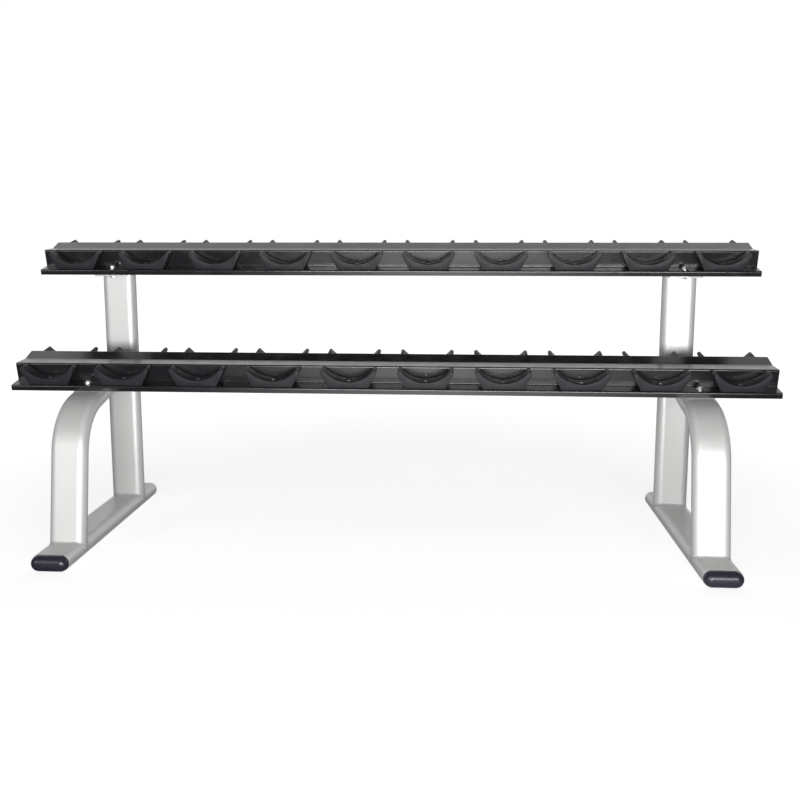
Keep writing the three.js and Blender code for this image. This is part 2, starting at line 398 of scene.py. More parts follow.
@dataclass(frozen=True)
class Grain:
    """One layer of noise in a finish.

    Attributes:
        scale: Features per metre, before any stretch.
        low: Noise value where the layer starts to show.
        high: Noise value where it shows in full.
        detail: Octaves.
        rough: How strong the fine octaves are.
        stretch: Factors along x, y and z that draw the features out into streaks.
    """

    scale: float
    low: float = 0.3
    high: float = 0.7
    detail: float = 4.0
    rough: float = 0.5
    stretch: tuple[float, float, float] | None = None

    def show(self, graph: ShaderGraph, to_low: float = 0.0, to_high: float = 1.0) -> bpy.types.NodeSocket:
        """Adds the layer to a tree.

        Args:
            graph: The tree.
            to_low: Result where the layer doesn't show.
            to_high: Result where it shows in full.

        Returns:
            The layer's value.
        """
        vector = graph.stretched(self.stretch) if self.stretch else None
        noise = graph.noise(self.scale, self.detail, self.rough, vector)
        return graph.ramp(noise, self.low, self.high, to_low, to_high)


@dataclass(frozen=True)
class Relief:
    """How a bump layer stands out.

    Attributes:
        strength: Its strength, up to 1.
        depth: Its depth in metres.
    """

    strength: float
    depth: float

    def layer(self, height: bpy.types.NodeSocket) -> tuple[bpy.types.NodeSocket, float, float]:
        """Returns a bump layer of this relief."""
        return height, self.strength, self.depth


@dataclass(frozen=True)
class Finish:
    """What every finish has in common.

    Attributes:
        name: The material's name.
        color: Its clean colour.
        rough: Its mean roughness.
        stray: How far the roughness strays below and above its mean.
        patches: Where it strays.
    """

    name: str
    color: Color
    rough: float
    stray: Span
    patches: Grain

    def uneven_rough(self, graph: ShaderGraph) -> bpy.types.NodeSocket:
        """Returns the roughness, straying from patch to patch."""
        below, above = self.stray
        return self.patches.show(graph, self.rough - below, self.rough + above)

    def shaded(self, share: float) -> Color:
        """Returns the clean colour times a share, kept within 1."""
        return tuple(min(1.0, part * share) for part in self.color)


@dataclass(frozen=True)
class SilverPowderCoat(Finish):
    """Satin silver powder coat with fine metal flake and a light orange peel.

    Attributes:
        dust: What gathers close to the floor.
        metallic: How much it shines like metal.
        flakes: Flakes per metre.
        flake_colors: Shares of the colour on the dullest and the brightest flakes.
        flake_cut: Range of the flake pattern that is used.
        flake_relief: Relief of the flakes.
        peel: Orange-peel bumps per metre.
        peel_relief: Their relief.
        clouds: Where the coat is duller.
        cloud_share: How much duller.
        smudges: Where dust gathers.
        smudge_share: How thickly.
        dust_top: How high above the floor.
        dust_share: How much of the coat it hides.
    """

    name: str = "satin_silver_powder_coat"
    color: Color = (0.70, 0.70, 0.69)
    rough: float = 0.42
    stray: Span = (0.05, 0.07)
    patches: Grain = Grain(35.0)
    dust: Color = (0.38, 0.375, 0.365)
    metallic: float = 0.32
    flakes: float = 1500.0
    flake_colors: Span = (0.93, 1.1)
    flake_cut: Span = (0.1, 0.9)
    flake_relief: Relief = Relief(0.03, 0.0001)
    peel: float = 420.0
    peel_relief: Relief = Relief(0.10, 0.0004)
    clouds: Grain = Grain(5.0, 0.35, 0.7, 3.0)
    cloud_share: float = 0.35
    smudges: Grain = Grain(60.0, 0.3, 0.75)
    smudge_share: float = 0.5
    dust_top: float = 0.05
    dust_share: float = 0.45

    def build(self) -> bpy.types.Material:
        """Builds the material.

        Returns:
            The material.
        """
        material, graph = new_material(self.name)
        dull, bright = (self.shaded(share) for share in self.flake_colors)
        flake = graph.ramp(graph.cells(self.flakes, "Color"), *self.flake_cut)
        coat = graph.mix(flake, dull, bright)
        coat = graph.mix(self.clouds.show(graph, to_high=self.cloud_share), coat, dull)
        low = graph.math("SUBTRACT", self.smudges.show(graph, to_high=self.smudge_share),
                         graph.height(0.0, self.dust_top))
        dusty = graph.ramp(low, 0.0, self.smudge_share, 0.0, self.dust_share)
        color = graph.mix(dusty, coat, self.dust)
        normal = graph.bump((self.peel_relief.layer(graph.noise(self.peel)),
                             self.flake_relief.layer(graph.cells(self.flakes))))
        graph.surface(color, self.uneven_rough(graph), normal, Metallic=self.metallic)
        return material


@dataclass(frozen=True)
class GlossBlackPowderCoat(Finish):
    """Gloss black powder coat: orange peel, faint sheet waviness, hairline scratches and dust.

    Attributes:
        dust: The dust on what faces up.
        specular: How strongly it reflects.
        peel: Orange-peel bumps per metre.
        peel_relief: Their relief.
        waves: Waves per metre in the sheet.
        wave_relief: Their relief.
        specks: Dust specks.
        speck_share: How thick they are.
        film: Dust film.
        film_share: How thick it is.
        settles: Z of the normals between which dust settles.
        dust_rough: How much rougher dust makes it.
        hairs: Hairline scratches.
        hair_share: How pale they are.
        hair_relief: Their relief.
    """

    name: str = "gloss_black_powder_coat"
    color: Color = (0.010, 0.010, 0.012)
    rough: float = 0.20
    stray: Span = (0.04, 0.06)
    patches: Grain = Grain(22.0)
    dust: Color = (0.085, 0.083, 0.080)
    specular: float = 0.85
    peel: float = 360.0
    peel_relief: Relief = Relief(0.12, 0.0005)
    waves: float = 3.2
    wave_relief: Relief = Relief(0.25, 0.004)
    specks: Grain = Grain(900.0, 0.62, 0.75, 3.0, 0.7)
    speck_share: float = 0.5
    film: Grain = Grain(14.0, 0.4, 0.75, 4.0, 0.6)
    film_share: float = 0.10
    settles: Span = (0.75, 0.98)
    dust_rough: float = 0.35
    hairs: Grain = Grain(1.0, 0.70, 0.73, 2.0, 0.6, (9.0, 700.0, 700.0))
    hair_share: float = 0.12
    hair_relief: Relief = Relief(0.05, 0.0001)

    def build(self) -> bpy.types.Material:
        """Builds the material.

        Returns:
            The material.
        """
        material, graph = new_material(self.name)
        specks = graph.math("MULTIPLY", self.specks.show(graph), self.speck_share)
        film = self.film.show(graph, to_high=self.film_share)
        settled = graph.math("MULTIPLY", graph.math("MAXIMUM", film, specks), graph.upward(*self.settles))
        hairs = self.hairs.show(graph)
        color = graph.mix(settled, self.color, self.dust)
        color = graph.mix(graph.math("MULTIPLY", hairs, self.hair_share), color, self.dust)
        rough = graph.math("ADD", self.uneven_rough(graph), graph.math("MULTIPLY", settled, self.dust_rough))
        normal = graph.bump((self.wave_relief.layer(graph.noise(self.waves, 1.0)),
                             self.peel_relief.layer(graph.noise(self.peel)),
                             self.hair_relief.layer(hairs)))
        graph.surface(color, rough, normal, Specular_IOR_Level=self.specular)
        return material


@dataclass(frozen=True)
class SaddlePlastic(Finish):
    """Charcoal moulded plastic: a fine spark-eroded grain, and scuffs where dumbbells rub.

    Attributes:
        scuff: The scuffed plastic.
        specular: How strongly it reflects.
        mottle: Where the colour wanders.
        mottle_colors: Shares of the colour that it wanders between.
        grain: Grains per metre.
        grain_relief: Their relief.
        streaks: Rub marks.
        rubbed: Z of the normals between which dumbbells rub.
        scuff_share: How pale the marks are.
        polish: How much smoother they are.
        streak_relief: Their relief.
    """

    name: str = "charcoal_moulded_plastic"
    color: Color = (0.018, 0.017, 0.021)
    rough: float = 0.46
    stray: Span = (0.05, 0.08)
    patches: Grain = Grain(50.0, detail=3.0)
    scuff: Color = (0.085, 0.083, 0.085)
    specular: float = 0.32
    mottle: Grain = Grain(70.0, detail=3.0)
    mottle_colors: Span = (0.85, 1.15)
    grain: float = 1400.0
    grain_relief: Relief = Relief(0.22, 0.0003)
    streaks: Grain = Grain(1.0, 0.56, 0.72, 3.0, 0.65, (420.0, 35.0, 60.0))
    rubbed: Span = (0.35, 0.9)
    scuff_share: float = 0.35
    polish: float = 0.12
    streak_relief: Relief = Relief(0.05, 0.0002)

    def build(self) -> bpy.types.Material:
        """Builds the material.

        Returns:
            The material.
        """
        material, graph = new_material(self.name)
        base = graph.mix(self.mottle.show(graph), *(self.shaded(share) for share in self.mottle_colors))
        streaks = self.streaks.show(graph)
        rubbed = graph.math("MULTIPLY", streaks, graph.upward(*self.rubbed))
        color = graph.mix(graph.math("MULTIPLY", rubbed, self.scuff_share), base, self.scuff)
        rough = graph.math("SUBTRACT", self.uneven_rough(graph), graph.math("MULTIPLY", rubbed, self.polish))
        normal = graph.bump((self.grain_relief.layer(graph.noise(self.grain, 3.0, 0.7)),
                             self.streak_relief.layer(streaks)))
        graph.surface(color, rough, normal, Specular_IOR_Level=self.specular)
        return material


@dataclass(frozen=True)
class CapPlastic(Finish):
    """Semi-gloss blue-black moulded plastic of the end caps.

    Attributes:
        scuff: The plastic where shoes have brushed it.
        specular: How strongly it reflects.
        brushed: Where shoes have brushed it.
        scuff_share: How pale the marks are.
        scuff_relief: Their relief.
        grain: Grains per metre.
        grain_relief: Their relief.
    """

    name: str = "semi_gloss_cap_plastic"
    color: Color = (0.020, 0.019, 0.032)
    rough: float = 0.30
    stray: Span = (0.05, 0.1)
    patches: Grain = Grain(90.0, detail=3.0)
    scuff: Color = (0.06, 0.058, 0.07)
    specular: float = 0.55
    brushed: Grain = Grain(1.0, 0.55, 0.75, 4.0, 0.65, (60.0, 60.0, 320.0))
    scuff_share: float = 0.3
    scuff_relief: Relief = Relief(0.05, 0.0002)
    grain: float = 1100.0
    grain_relief: Relief = Relief(0.10, 0.0002)

    def build(self) -> bpy.types.Material:
        """Builds the material.

        Returns:
            The material.
        """
        material, graph = new_material(self.name)
        brushed = self.brushed.show(graph)
        color = graph.mix(graph.math("MULTIPLY", brushed, self.scuff_share), self.color, self.scuff)
        normal = graph.bump((self.grain_relief.layer(graph.noise(self.grain, 3.0, 0.6)),
                             self.scuff_relief.layer(brushed)))
        graph.surface(color, self.uneven_rough(graph), normal, Specular_IOR_Level=self.specular)
        return material


@dataclass(frozen=True)
class BrightZinc(Finish):
    """Bright zinc plate with faint machining marks.

    Attributes:
        dull: The plate where it has clouded.
        clouds: Where it has clouded.
        cloud_share: How far.
        marks: Factors along x, y and z that draw noise out into machining marks.
        mark_relief: Their relief.
    """

    name: str = "bright_zinc_plate"
    color: Color = (0.86, 0.87, 0.88)
    rough: float = 0.24
    stray: Span = (0.06, 0.12)
    patches: Grain = Grain(500.0, detail=3.0)
    dull: Color = (0.62, 0.62, 0.60)
    clouds: Grain = Grain(260.0, 0.4, 0.7, 4.0, 0.6)
    cloud_share: float = 0.6
    marks: tuple[float, float, float] = (300.0, 300.0, 4000.0)
    mark_relief: Relief = Relief(0.08, 0.0001)

    def build(self) -> bpy.types.Material:
        """Builds the material.

        Returns:
            The material.
        """
        material, graph = new_material(self.name)
        color = graph.mix(self.clouds.show(graph, to_high=self.cloud_share), self.color, self.dull)
        marks = graph.noise(1.0, vector=graph.stretched(self.marks))
        normal = graph.bump((self.mark_relief.layer(marks),))
        graph.surface(color, self.uneven_rough(graph), normal, Metallic=1.0)
        return material


@dataclass(frozen=True)
class PaintedWeld(Finish):
    """Powder coat over a weld bead: the same silver, a little rougher, with painted shade: darker all over
    and in random spots.

    Attributes:
        hollow: Colour of the painted shade in the random spots.
        metallic: How much it shines like metal.
        spots: Where that painted shade falls, at random.
        grain: Grains per metre.
        grain_relief: Their relief.
    """

    name: str = "silver_coat_on_weld"
    # Painted shade: the bead's coat is painted darker than the frame's silver, for the shade in the weld's
    # crease.
    color: Color = (0.56, 0.56, 0.555)
    rough: float = 0.475
    stray: Span = (0.075, 0.075)
    patches: Grain = Grain(200.0, detail=3.0)
    hollow: Color = (0.34, 0.34, 0.335)
    metallic: float = 0.35
    spots: Grain = Grain(300.0, 0.45, 0.7, 3.0)
    grain: float = 900.0
    grain_relief: Relief = Relief(0.2, 0.0003)

    def build(self) -> bpy.types.Material:
        """Builds the material.

        Returns:
            The material.
        """
        material, graph = new_material(self.name)
        # Painted shade: the darker bead colour, darker still in random spots.
        color = graph.mix(self.spots.show(graph), self.color, self.hollow)
        normal = graph.bump((self.grain_relief.layer(graph.noise(self.grain, 3.0)),))
        graph.surface(color, self.uneven_rough(graph), normal, Metallic=self.metallic)
        return material


@dataclass
class Finishes:
    """Every finish of the rack, built once.

    Attributes:
        silver: The side frames' coat.
        plate: The mounting plates' coat.
        tray: The trays' coat.
        saddle: The saddles' plastic.
        cap: The end caps' plastic.
        zinc: The screws' and bolts' plate.
        weld: The coat on the weld beads.
    """

    silver: bpy.types.Material = field(default_factory=lambda: SilverPowderCoat().build())
    plate: bpy.types.Material = field(default_factory=lambda: SilverPowderCoat(
        name="satin_silver_plate_coat", color=(0.74, 0.74, 0.73), rough=0.33).build())
    tray: bpy.types.Material = field(default_factory=lambda: GlossBlackPowderCoat().build())
    saddle: bpy.types.Material = field(default_factory=lambda: SaddlePlastic().build())
    cap: bpy.types.Material = field(default_factory=lambda: CapPlastic().build())
    zinc: bpy.types.Material = field(default_factory=lambda: BrightZinc().build())
    weld: bpy.types.Material = field(default_factory=lambda: PaintedWeld().build())


# ---------------------------------------------------------------------------
# Mesh helpers
# ---------------------------------------------------------------------------


def new_object(name: str, mesh: bpy.types.Mesh) -> bpy.types.Object:
    """Links a mesh into the scene as an object.

    Args:
        name: The object's name.
        mesh: Its mesh.

    Returns:
        The object.
    """
    mesh.name = name
    made = bpy.data.objects.new(name, mesh)
    bpy.context.scene.collection.objects.link(made)
    return made


def mesh_from(vertices: Sequence[Vector], faces: Sequence[Sequence[int]]) -> bpy.types.Mesh:
    """Makes a mesh with its normals turned outwards.

    Args:
        vertices: Its points.
        faces: Its faces, as indices of points.

    Returns:
        The mesh.
    """
    mesh = bpy.data.meshes.new("mesh")
    mesh.from_pydata([tuple(v) for v in vertices], [], [tuple(f) for f in faces])
    work = bmesh.new()
    work.from_mesh(mesh)
    bmesh.ops.remove_doubles(work, verts=work.verts, dist=MERGE_DISTANCE)
    bmesh.ops.recalc_face_normals(work, faces=work.faces)
    work.to_mesh(mesh)
    work.free()
    return mesh


def smooth(mesh: bpy.types.Mesh, angle_deg: float = 32.0) -> bpy.types.Mesh:
    """Shades a mesh smooth, with sharp edges over an angle.

    Args:
        mesh: The mesh.
        angle_deg: The angle from which an edge is sharp.

    Returns:
        The same mesh.
    """
    mesh.shade_smooth()
    mesh.set_sharp_from_angle(angle=math.radians(angle_deg))
    return mesh


def loft(rings: Sequence[Ring], close_start: bool, close_end: bool) -> tuple[Ring, list[list[int]]]:
    """Joins closed rings of equal count into a skin.

    Args:
        rings: The rings, in order.
        close_start: Whether a face closes the first ring.
        close_end: Whether a face closes the last ring.

    Returns:
        The points and the faces.
    """
    count = len(rings[0])
    points = [point for ring in rings for point in ring]
    faces = []
    for level in range(len(rings) - 1):
        base = level * count
        for i in range(count):
            j = (i + 1) % count
            faces.append([base + i, base + j, base + count + j, base + count + i])
    if close_start:
        faces.append(list(range(count)))
    if close_end:
        faces.append([(len(rings) - 1) * count + i for i in range(count)])
    return points, faces


def pipe(outer: Sequence[Ring], inner: Sequence[Ring]) -> bpy.types.Mesh:
    """Makes a closed thin-walled pipe from its outer and inner rings.

    Args:
        outer: Rings of the outer skin, from end to end.
        inner: Rings of the bore, from the same end.

    Returns:
        The mesh.
    """
    rings = [*outer, *reversed(inner), outer[0]]
    return mesh_from(*loft(rings, False, False))


def evaluated_copy(made: bpy.types.Object) -> bpy.types.Mesh:
    """Applies an object's modifiers and removes the object.

    Args:
        made: The object.

    Returns:
        The mesh.
    """
    graph = bpy.context.evaluated_depsgraph_get()
    graph.update()
    mesh = bpy.data.meshes.new_from_object(made.evaluated_get(graph), depsgraph=graph)
    bpy.data.objects.remove(made)
    return mesh


def bevelled(mesh: bpy.types.Mesh, width: float, segments: int, angle_deg: float = 30.0) -> bpy.types.Mesh:
    """Rounds a mesh's sharp edges.

    Args:
        mesh: The mesh.
        width: The rounding's width.
        segments: Faces across the rounding.
        angle_deg: The angle from which an edge is rounded.

    Returns:
        The rounded mesh.
    """
    made = new_object("bevel_work", mesh)
    bevel = made.modifiers.new("round", "BEVEL")
    bevel.width = width
    bevel.segments = segments
    bevel.limit_method = "ANGLE"
    bevel.angle_limit = math.radians(angle_deg)
    bevel.use_clamp_overlap = True
    return evaluated_copy(made)


def cut(mesh: bpy.types.Mesh, cutter: bpy.types.Mesh) -> bpy.types.Mesh:
    """Cuts one mesh out of another.

    Args:
        mesh: What is cut.
        cutter: What is taken away.

    Returns:
        The cut mesh.
    """
    made = new_object("cut_work", mesh)
    tool = new_object("cut_tool", cutter)
    boolean = made.modifiers.new("cut", "BOOLEAN")
    boolean.operation = "DIFFERENCE"
    boolean.solver = "EXACT"
    boolean.object = tool
    result = evaluated_copy(made)
    bpy.data.objects.remove(tool)
    return result


def turned(profile: Outline, sides: int = DRILL_SIDES) -> bpy.types.Mesh:
    """Turns a profile about the z axis into a closed solid.

    Args:
        profile: Radius and height of each corner; the first and last lie on the axis.
        sides: Faces round the axis.

    Returns:
        The mesh.
    """
    rings = []
    for radius, z in profile:
        reach = max(radius, AXIS_REACH)
        angles = (math.tau * i / sides for i in range(sides))
        rings.append([Vector((reach * math.cos(angle), reach * math.sin(angle), z)) for angle in angles])
    return mesh_from(*loft(rings, True, True))


def drill(radius: float, low: float, high: float) -> bpy.types.Mesh:
    """Makes a round cutter that stands on the z axis.

    Args:
        radius: Its radius.
        low: Height of its foot.
        high: Height of its top.

    Returns:
        The mesh.
    """
    return turned([(0.0, low), (radius, low), (radius, high), (0.0, high)])


def moved(mesh: bpy.types.Mesh, matrix: Matrix) -> bpy.types.Mesh:
    """Moves a mesh's points by a matrix and returns the mesh."""
    mesh.transform(matrix)
    return mesh


def finish_piece(made: bpy.types.Object, material: bpy.types.Material,
                 replaced: Sequence[str] = ()) -> bpy.types.Object:
    """Gives a piece its material and its body, and hides the frame nodes that it stands for.

    Args:
        made: The piece.
        material: Its material.
        replaced: The frame nodes that it stands for.

    Returns:
        The piece.
    """
    made.data.materials.clear()
    made.data.materials.append(material)
    for polygon in made.data.polygons:
        polygon.material_index = 0
    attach(made, ROOT)
    if replaced:
        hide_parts(*replaced)
    LOG.info("%s: %d faces", made.name, len(made.data.polygons))
    return made


# ---------------------------------------------------------------------------
# Geometry Nodes
# ---------------------------------------------------------------------------


class GeometryGraph(NodeGraph):
    """Geometry nodes with named size inputs, ending in Realize Instances and Set Material."""

    def __init__(self, name: str, sizes: dict[str, float]) -> None:
        """Args:
            name: The tree's name.
            sizes: The name and default of each size input.
        """
        super().__init__(bpy.data.node_groups.new(name, "GeometryNodeTree"))
        face = self.tree.interface
        face.new_socket(name="Geometry", in_out="INPUT", socket_type="NodeSocketGeometry")
        face.new_socket(name="Geometry", in_out="OUTPUT", socket_type="NodeSocketGeometry")
        for size, value in sizes.items():
            socket = face.new_socket(name=size, in_out="INPUT", socket_type="NodeSocketFloat")
            socket.default_value = value
        self.entry = self.add("NodeGroupInput")

    def size(self, name: str) -> bpy.types.NodeSocket:
        """Returns one of the tree's inputs by name."""
        return self.entry.outputs[name]

    def close(self, geometry: bpy.types.NodeSocket, material: bpy.types.Material) -> None:
        """Ends the tree.

        Args:
            geometry: What the tree makes.
            material: What it is made of.
        """
        shade = self.add("GeometryNodeSetShadeSmooth")
        real = self.add("GeometryNodeRealizeInstances")
        dress = self.add("GeometryNodeSetMaterial", Material=material)
        self.link(geometry, shade.inputs["Geometry"])
        self.link(shade.outputs[0], real.inputs["Geometry"])
        self.link(real.outputs[0], dress.inputs["Geometry"])
        self.link(dress.outputs[0], self.add("NodeGroupOutput").inputs["Geometry"])

    def grow(self, base: bpy.types.Mesh, sizes: dict[str, float]) -> bpy.types.Mesh:
        """Runs the tree on a mesh.

        Args:
            base: The mesh to grow from.
            sizes: Values for the tree's size inputs.

        Returns:
            The grown mesh.
        """
        made = new_object("grow_work", base)
        modifier = made.modifiers.new("grow", "NODES")
        modifier.node_group = self.tree
        for item in self.tree.interface.items_tree:
            if item.in_out == "INPUT" and item.name in sizes:
                modifier[item.identifier] = sizes[item.name]
        return evaluated_copy(made)


@dataclass(frozen=True)
class WeldBead:
    """A rippled weld bead along a closed line.

    Attributes:
        radius: Half of the bead's width.
        pitch: From one ripple to the next.
        depth: How deep the ripples are, as a share of the radius.
        wander: How unsteady the hand was, as a share of the radius.
        wander_scale: How many times it wanders in a metre.
        steps: Sections of the bead in each ripple.
        sides: Faces round the bead.
    """

    radius: float = 0.0024
    pitch: float = 0.0026
    depth: float = 0.10
    wander: float = 0.35
    wander_scale: float = 90.0
    steps: float = 5.0
    sides: int = 8

    def sizes(self) -> dict[str, float]:
        """Returns the tree's size inputs."""
        return {"Radius": self.radius, "Ripple Pitch": self.pitch, "Ripple Depth": self.depth,
                "Wander": self.wander}

    def tree(self, material: bpy.types.Material) -> GeometryGraph:
        """Builds the node tree that sweeps the bead.

        Args:
            material: The bead's finish.

        Returns:
            The tree.
        """
        graph = GeometryGraph("weld_bead", self.sizes())
        curve = graph.add("GeometryNodeMeshToCurve")
        graph.link(graph.size("Geometry"), curve.inputs["Mesh"])
        even = graph.add("GeometryNodeResampleCurve", mode="LENGTH")
        graph.link(curve.outputs["Curve"], even.inputs["Curve"])
        graph.link(graph.math("DIVIDE", graph.size("Ripple Pitch"), self.steps), even.inputs["Length"])
        along = graph.add("GeometryNodeSplineParameter").outputs["Length"]
        phase = graph.math("MULTIPLY", graph.math("DIVIDE", along, graph.size("Ripple Pitch")), math.tau)
        ripple = graph.math("MULTIPLY", graph.math("SINE", phase, 0.0), graph.size("Ripple Depth"))
        noise = graph.add("ShaderNodeTexNoise", Scale=self.wander_scale, Detail=2.0)
        unsteady = graph.math("MULTIPLY", graph.math("SUBTRACT", noise.outputs["Fac"], 0.5),
                              graph.size("Wander"))
        share = graph.math("ADD", graph.math("ADD", ripple, unsteady), 1.0)
        radius = graph.math("MULTIPLY", share, graph.size("Radius"))
        sized = graph.add("GeometryNodeSetCurveRadius")
        graph.link(even.outputs["Curve"], sized.inputs["Curve"])
        graph.link(radius, sized.inputs["Radius"])
        ring = graph.add("GeometryNodeCurvePrimitiveCircle", Resolution=self.sides, Radius=1.0)
        bead = graph.add("GeometryNodeCurveToMesh")
        graph.link(sized.outputs["Curve"], bead.inputs["Curve"])
        graph.link(ring.outputs["Curve"], bead.inputs["Profile Curve"])
        if "Scale" in bead.inputs:
            graph.link(radius, bead.inputs["Scale"])
        graph.close(bead.outputs["Mesh"], material)
        return graph

    def lay(self, lines: Sequence[Ring], material: bpy.types.Material) -> bpy.types.Mesh:
        """Lays beads along closed lines.

        Args:
            lines: The points of each closed line.
            material: The bead's finish.

        Returns:
            All the beads, as one mesh.
        """
        points: Ring = []
        edges: list[tuple[int, int]] = []
        for line in lines:
            start = len(points)
            points.extend(line)
            edges.extend((start + i, start + (i + 1) % len(line)) for i in range(len(line)))
        path = bpy.data.meshes.new("weld_path")
        path.from_pydata([tuple(p) for p in points], edges, [])
        return self.tree(material).grow(path, self.sizes())


@dataclass(frozen=True)
class PanHeadScrew:
    """A cross-recess pan-head screw.

    Attributes:
        radius: The head's radius.
        height: The head's height.
        recess: Length of the cross.
        slot: Width of the cross's arms.
        crown: How far the head's rim falls below its middle, as a share of the height.
        lift: Height of the cross's middle, as a share of the height.
        sides: Faces round the head.
    """

    radius: float = 0.0052
    height: float = 0.0028
    recess: float = 0.0056
    slot: float = 0.0013
    crown: float = 0.45
    lift: float = 0.55
    sides: int = 24

    def sizes(self, tilt: float) -> dict[str, float]:
        """Returns the tree's size inputs, with the heads leaning back by an angle."""
        return {"Head Radius": self.radius, "Head Height": self.height, "Recess Length": self.recess,
                "Recess Width": self.slot, "Tilt": tilt}

    def tree(self, material: bpy.types.Material) -> GeometryGraph:
        """Builds the node tree that puts a screw on every point.

        Args:
            material: The screws' finish.

        Returns:
            The tree.
        """
        graph = GeometryGraph("pan_head_screw", self.sizes(0.0))
        head = graph.add("GeometryNodeMeshCylinder", Vertices=self.sides, Side_Segments=2, Fill_Segments=4)
        graph.link(graph.size("Head Radius"), head.inputs["Radius"])
        graph.link(graph.size("Head Height"), head.inputs["Depth"])
        place = graph.split(graph.add("GeometryNodeInputPosition").outputs[0])
        reach = graph.add("ShaderNodeVectorMath", operation="LENGTH")
        graph.link(graph.vector(X=place["X"], Y=place["Y"]), reach.inputs[0])
        share = graph.math("DIVIDE", reach.outputs["Value"], graph.size("Head Radius"))
        drop = graph.math("MULTIPLY", graph.math("MULTIPLY", share, share), graph.size("Head Height"))
        drop = graph.math("MULTIPLY", drop, -self.crown)
        top = graph.math("GREATER_THAN", place["Z"], AXIS_REACH)
        dome = graph.add("GeometryNodeSetPosition")
        graph.link(head.outputs["Mesh"], dome.inputs["Geometry"])
        graph.link(graph.vector(Z=graph.math("MULTIPLY", drop, top)), dome.inputs["Offset"])
        up = graph.vector(Z=graph.math("MULTIPLY", graph.size("Head Height"), self.lift))
        arms = graph.add("GeometryNodeJoinGeometry")
        for long_axis, short_axis in (("X", "Y"), ("Y", "X")):
            sides = {long_axis: graph.size("Recess Length"), short_axis: graph.size("Recess Width"),
                     "Z": graph.size("Head Height")}
            bar = graph.add("GeometryNodeMeshCube")
            graph.link(graph.vector(**sides), bar.inputs["Size"])
            raised = graph.add("GeometryNodeTransform")
            graph.link(bar.outputs["Mesh"], raised.inputs["Geometry"])
            graph.link(up, raised.inputs["Translation"])
            graph.link(raised.outputs[0], arms.inputs[0])
        crossed = graph.add("GeometryNodeMeshBoolean", operation="DIFFERENCE")
        graph.link(dome.outputs["Geometry"], crossed.inputs["Mesh 1"])
        graph.link(arms.outputs[0], crossed.inputs["Mesh 2"])
        spread = graph.add("GeometryNodeInstanceOnPoints")
        graph.link(graph.size("Geometry"), spread.inputs["Points"])
        graph.link(crossed.outputs["Mesh"], spread.inputs["Instance"])
        graph.link(graph.vector(X=graph.size("Tilt")), spread.inputs["Rotation"])
        graph.close(spread.outputs["Instances"], material)
        return graph

    def place(self, points: Ring, tilt: float, material: bpy.types.Material) -> bpy.types.Mesh:
        """Puts a screw on every point.

        Args:
            points: The middle of each head.
            tilt: How far the heads lean back, in radians.
            material: The screws' finish.

        Returns:
            All the screws, as one mesh.
        """
        cloud = bpy.data.meshes.new("screw_points")
        cloud.from_pydata([tuple(p) for p in points], [], [])
        return self.tree(material).grow(cloud, self.sizes(tilt))


# ---------------------------------------------------------------------------
# The rack
# ---------------------------------------------------------------------------


@dataclass(frozen=True)
class Layout:
    """Driving sizes that several sub-assemblies share.

    Attributes:
        places: Dumbbell places on a tray.
        pitch: From one place to the next.
        gap: Clearance between touching pieces.
        tilt: How far the trays lean back, in radians.
        tray_length: Length of a tray along x.
        tray_depth: Depth of a tray along its own floor.
        floor_v: Height of a tray's floor above its lips.
        frame_x: Distance of each side frame from the middle.
        bolt_u: Distance of the tray bolts from the tray's edges.
        plate_thick: Thickness of the mounting plates.
        lips: Foot of each tray's front lip, as y and z.
    """

    places: int = 10
    pitch: float = 0.235
    gap: float = 0.0003
    tilt: float = math.radians(12.0)
    tray_length: float = 2.350
    tray_depth: float = 0.216
    floor_v: float = 0.0175
    frame_x: float = 4 * 0.235
    bolt_u: float = 0.024
    plate_thick: float = 0.005
    lips: dict[Tier, tuple[float, float]] = field(default_factory=lambda: {
        Tier.LOWER: (-0.071, 0.4695), Tier.UPPER: (0.168, 0.819)})

    def on_tray(self, tier: Tier) -> Matrix:
        """Returns the matrix from a tray's own (x, u, v) axes to the rack's."""
        y, z = self.lips[tier]
        return Matrix.Translation((0.0, y, z)) @ Matrix.Rotation(self.tilt, 4, "X")

    def under_plate(self, tier: Tier, y: float, depth: float = 0.0) -> float:
        """Returns a height below a tier's mounting plate.

        Args:
            tier: Which tray's plate.
            y: Where, along y.
            depth: How far below the plate, square to it.

        Returns:
            The height.
        """
        lip_y, lip_z = self.lips[tier]
        drop = (self.plate_thick + 2 * self.gap + depth) / math.cos(self.tilt)
        return lip_z + (y - lip_y) * math.tan(self.tilt) - drop

    def place_x(self, index: int) -> float:
        """Returns the x of a dumbbell place, counted from 0 at the left."""
        return (index - (self.places - 1) / 2) * self.pitch

    def bolt_us(self) -> Span:
        """Returns the u of the front and the rear bolts."""
        return self.bolt_u, self.tray_depth - self.bolt_u

    def frame_at(self, side: Side) -> float:
        """Returns the x of a side frame."""
        return -self.frame_x if side is Side.LEFT else self.frame_x


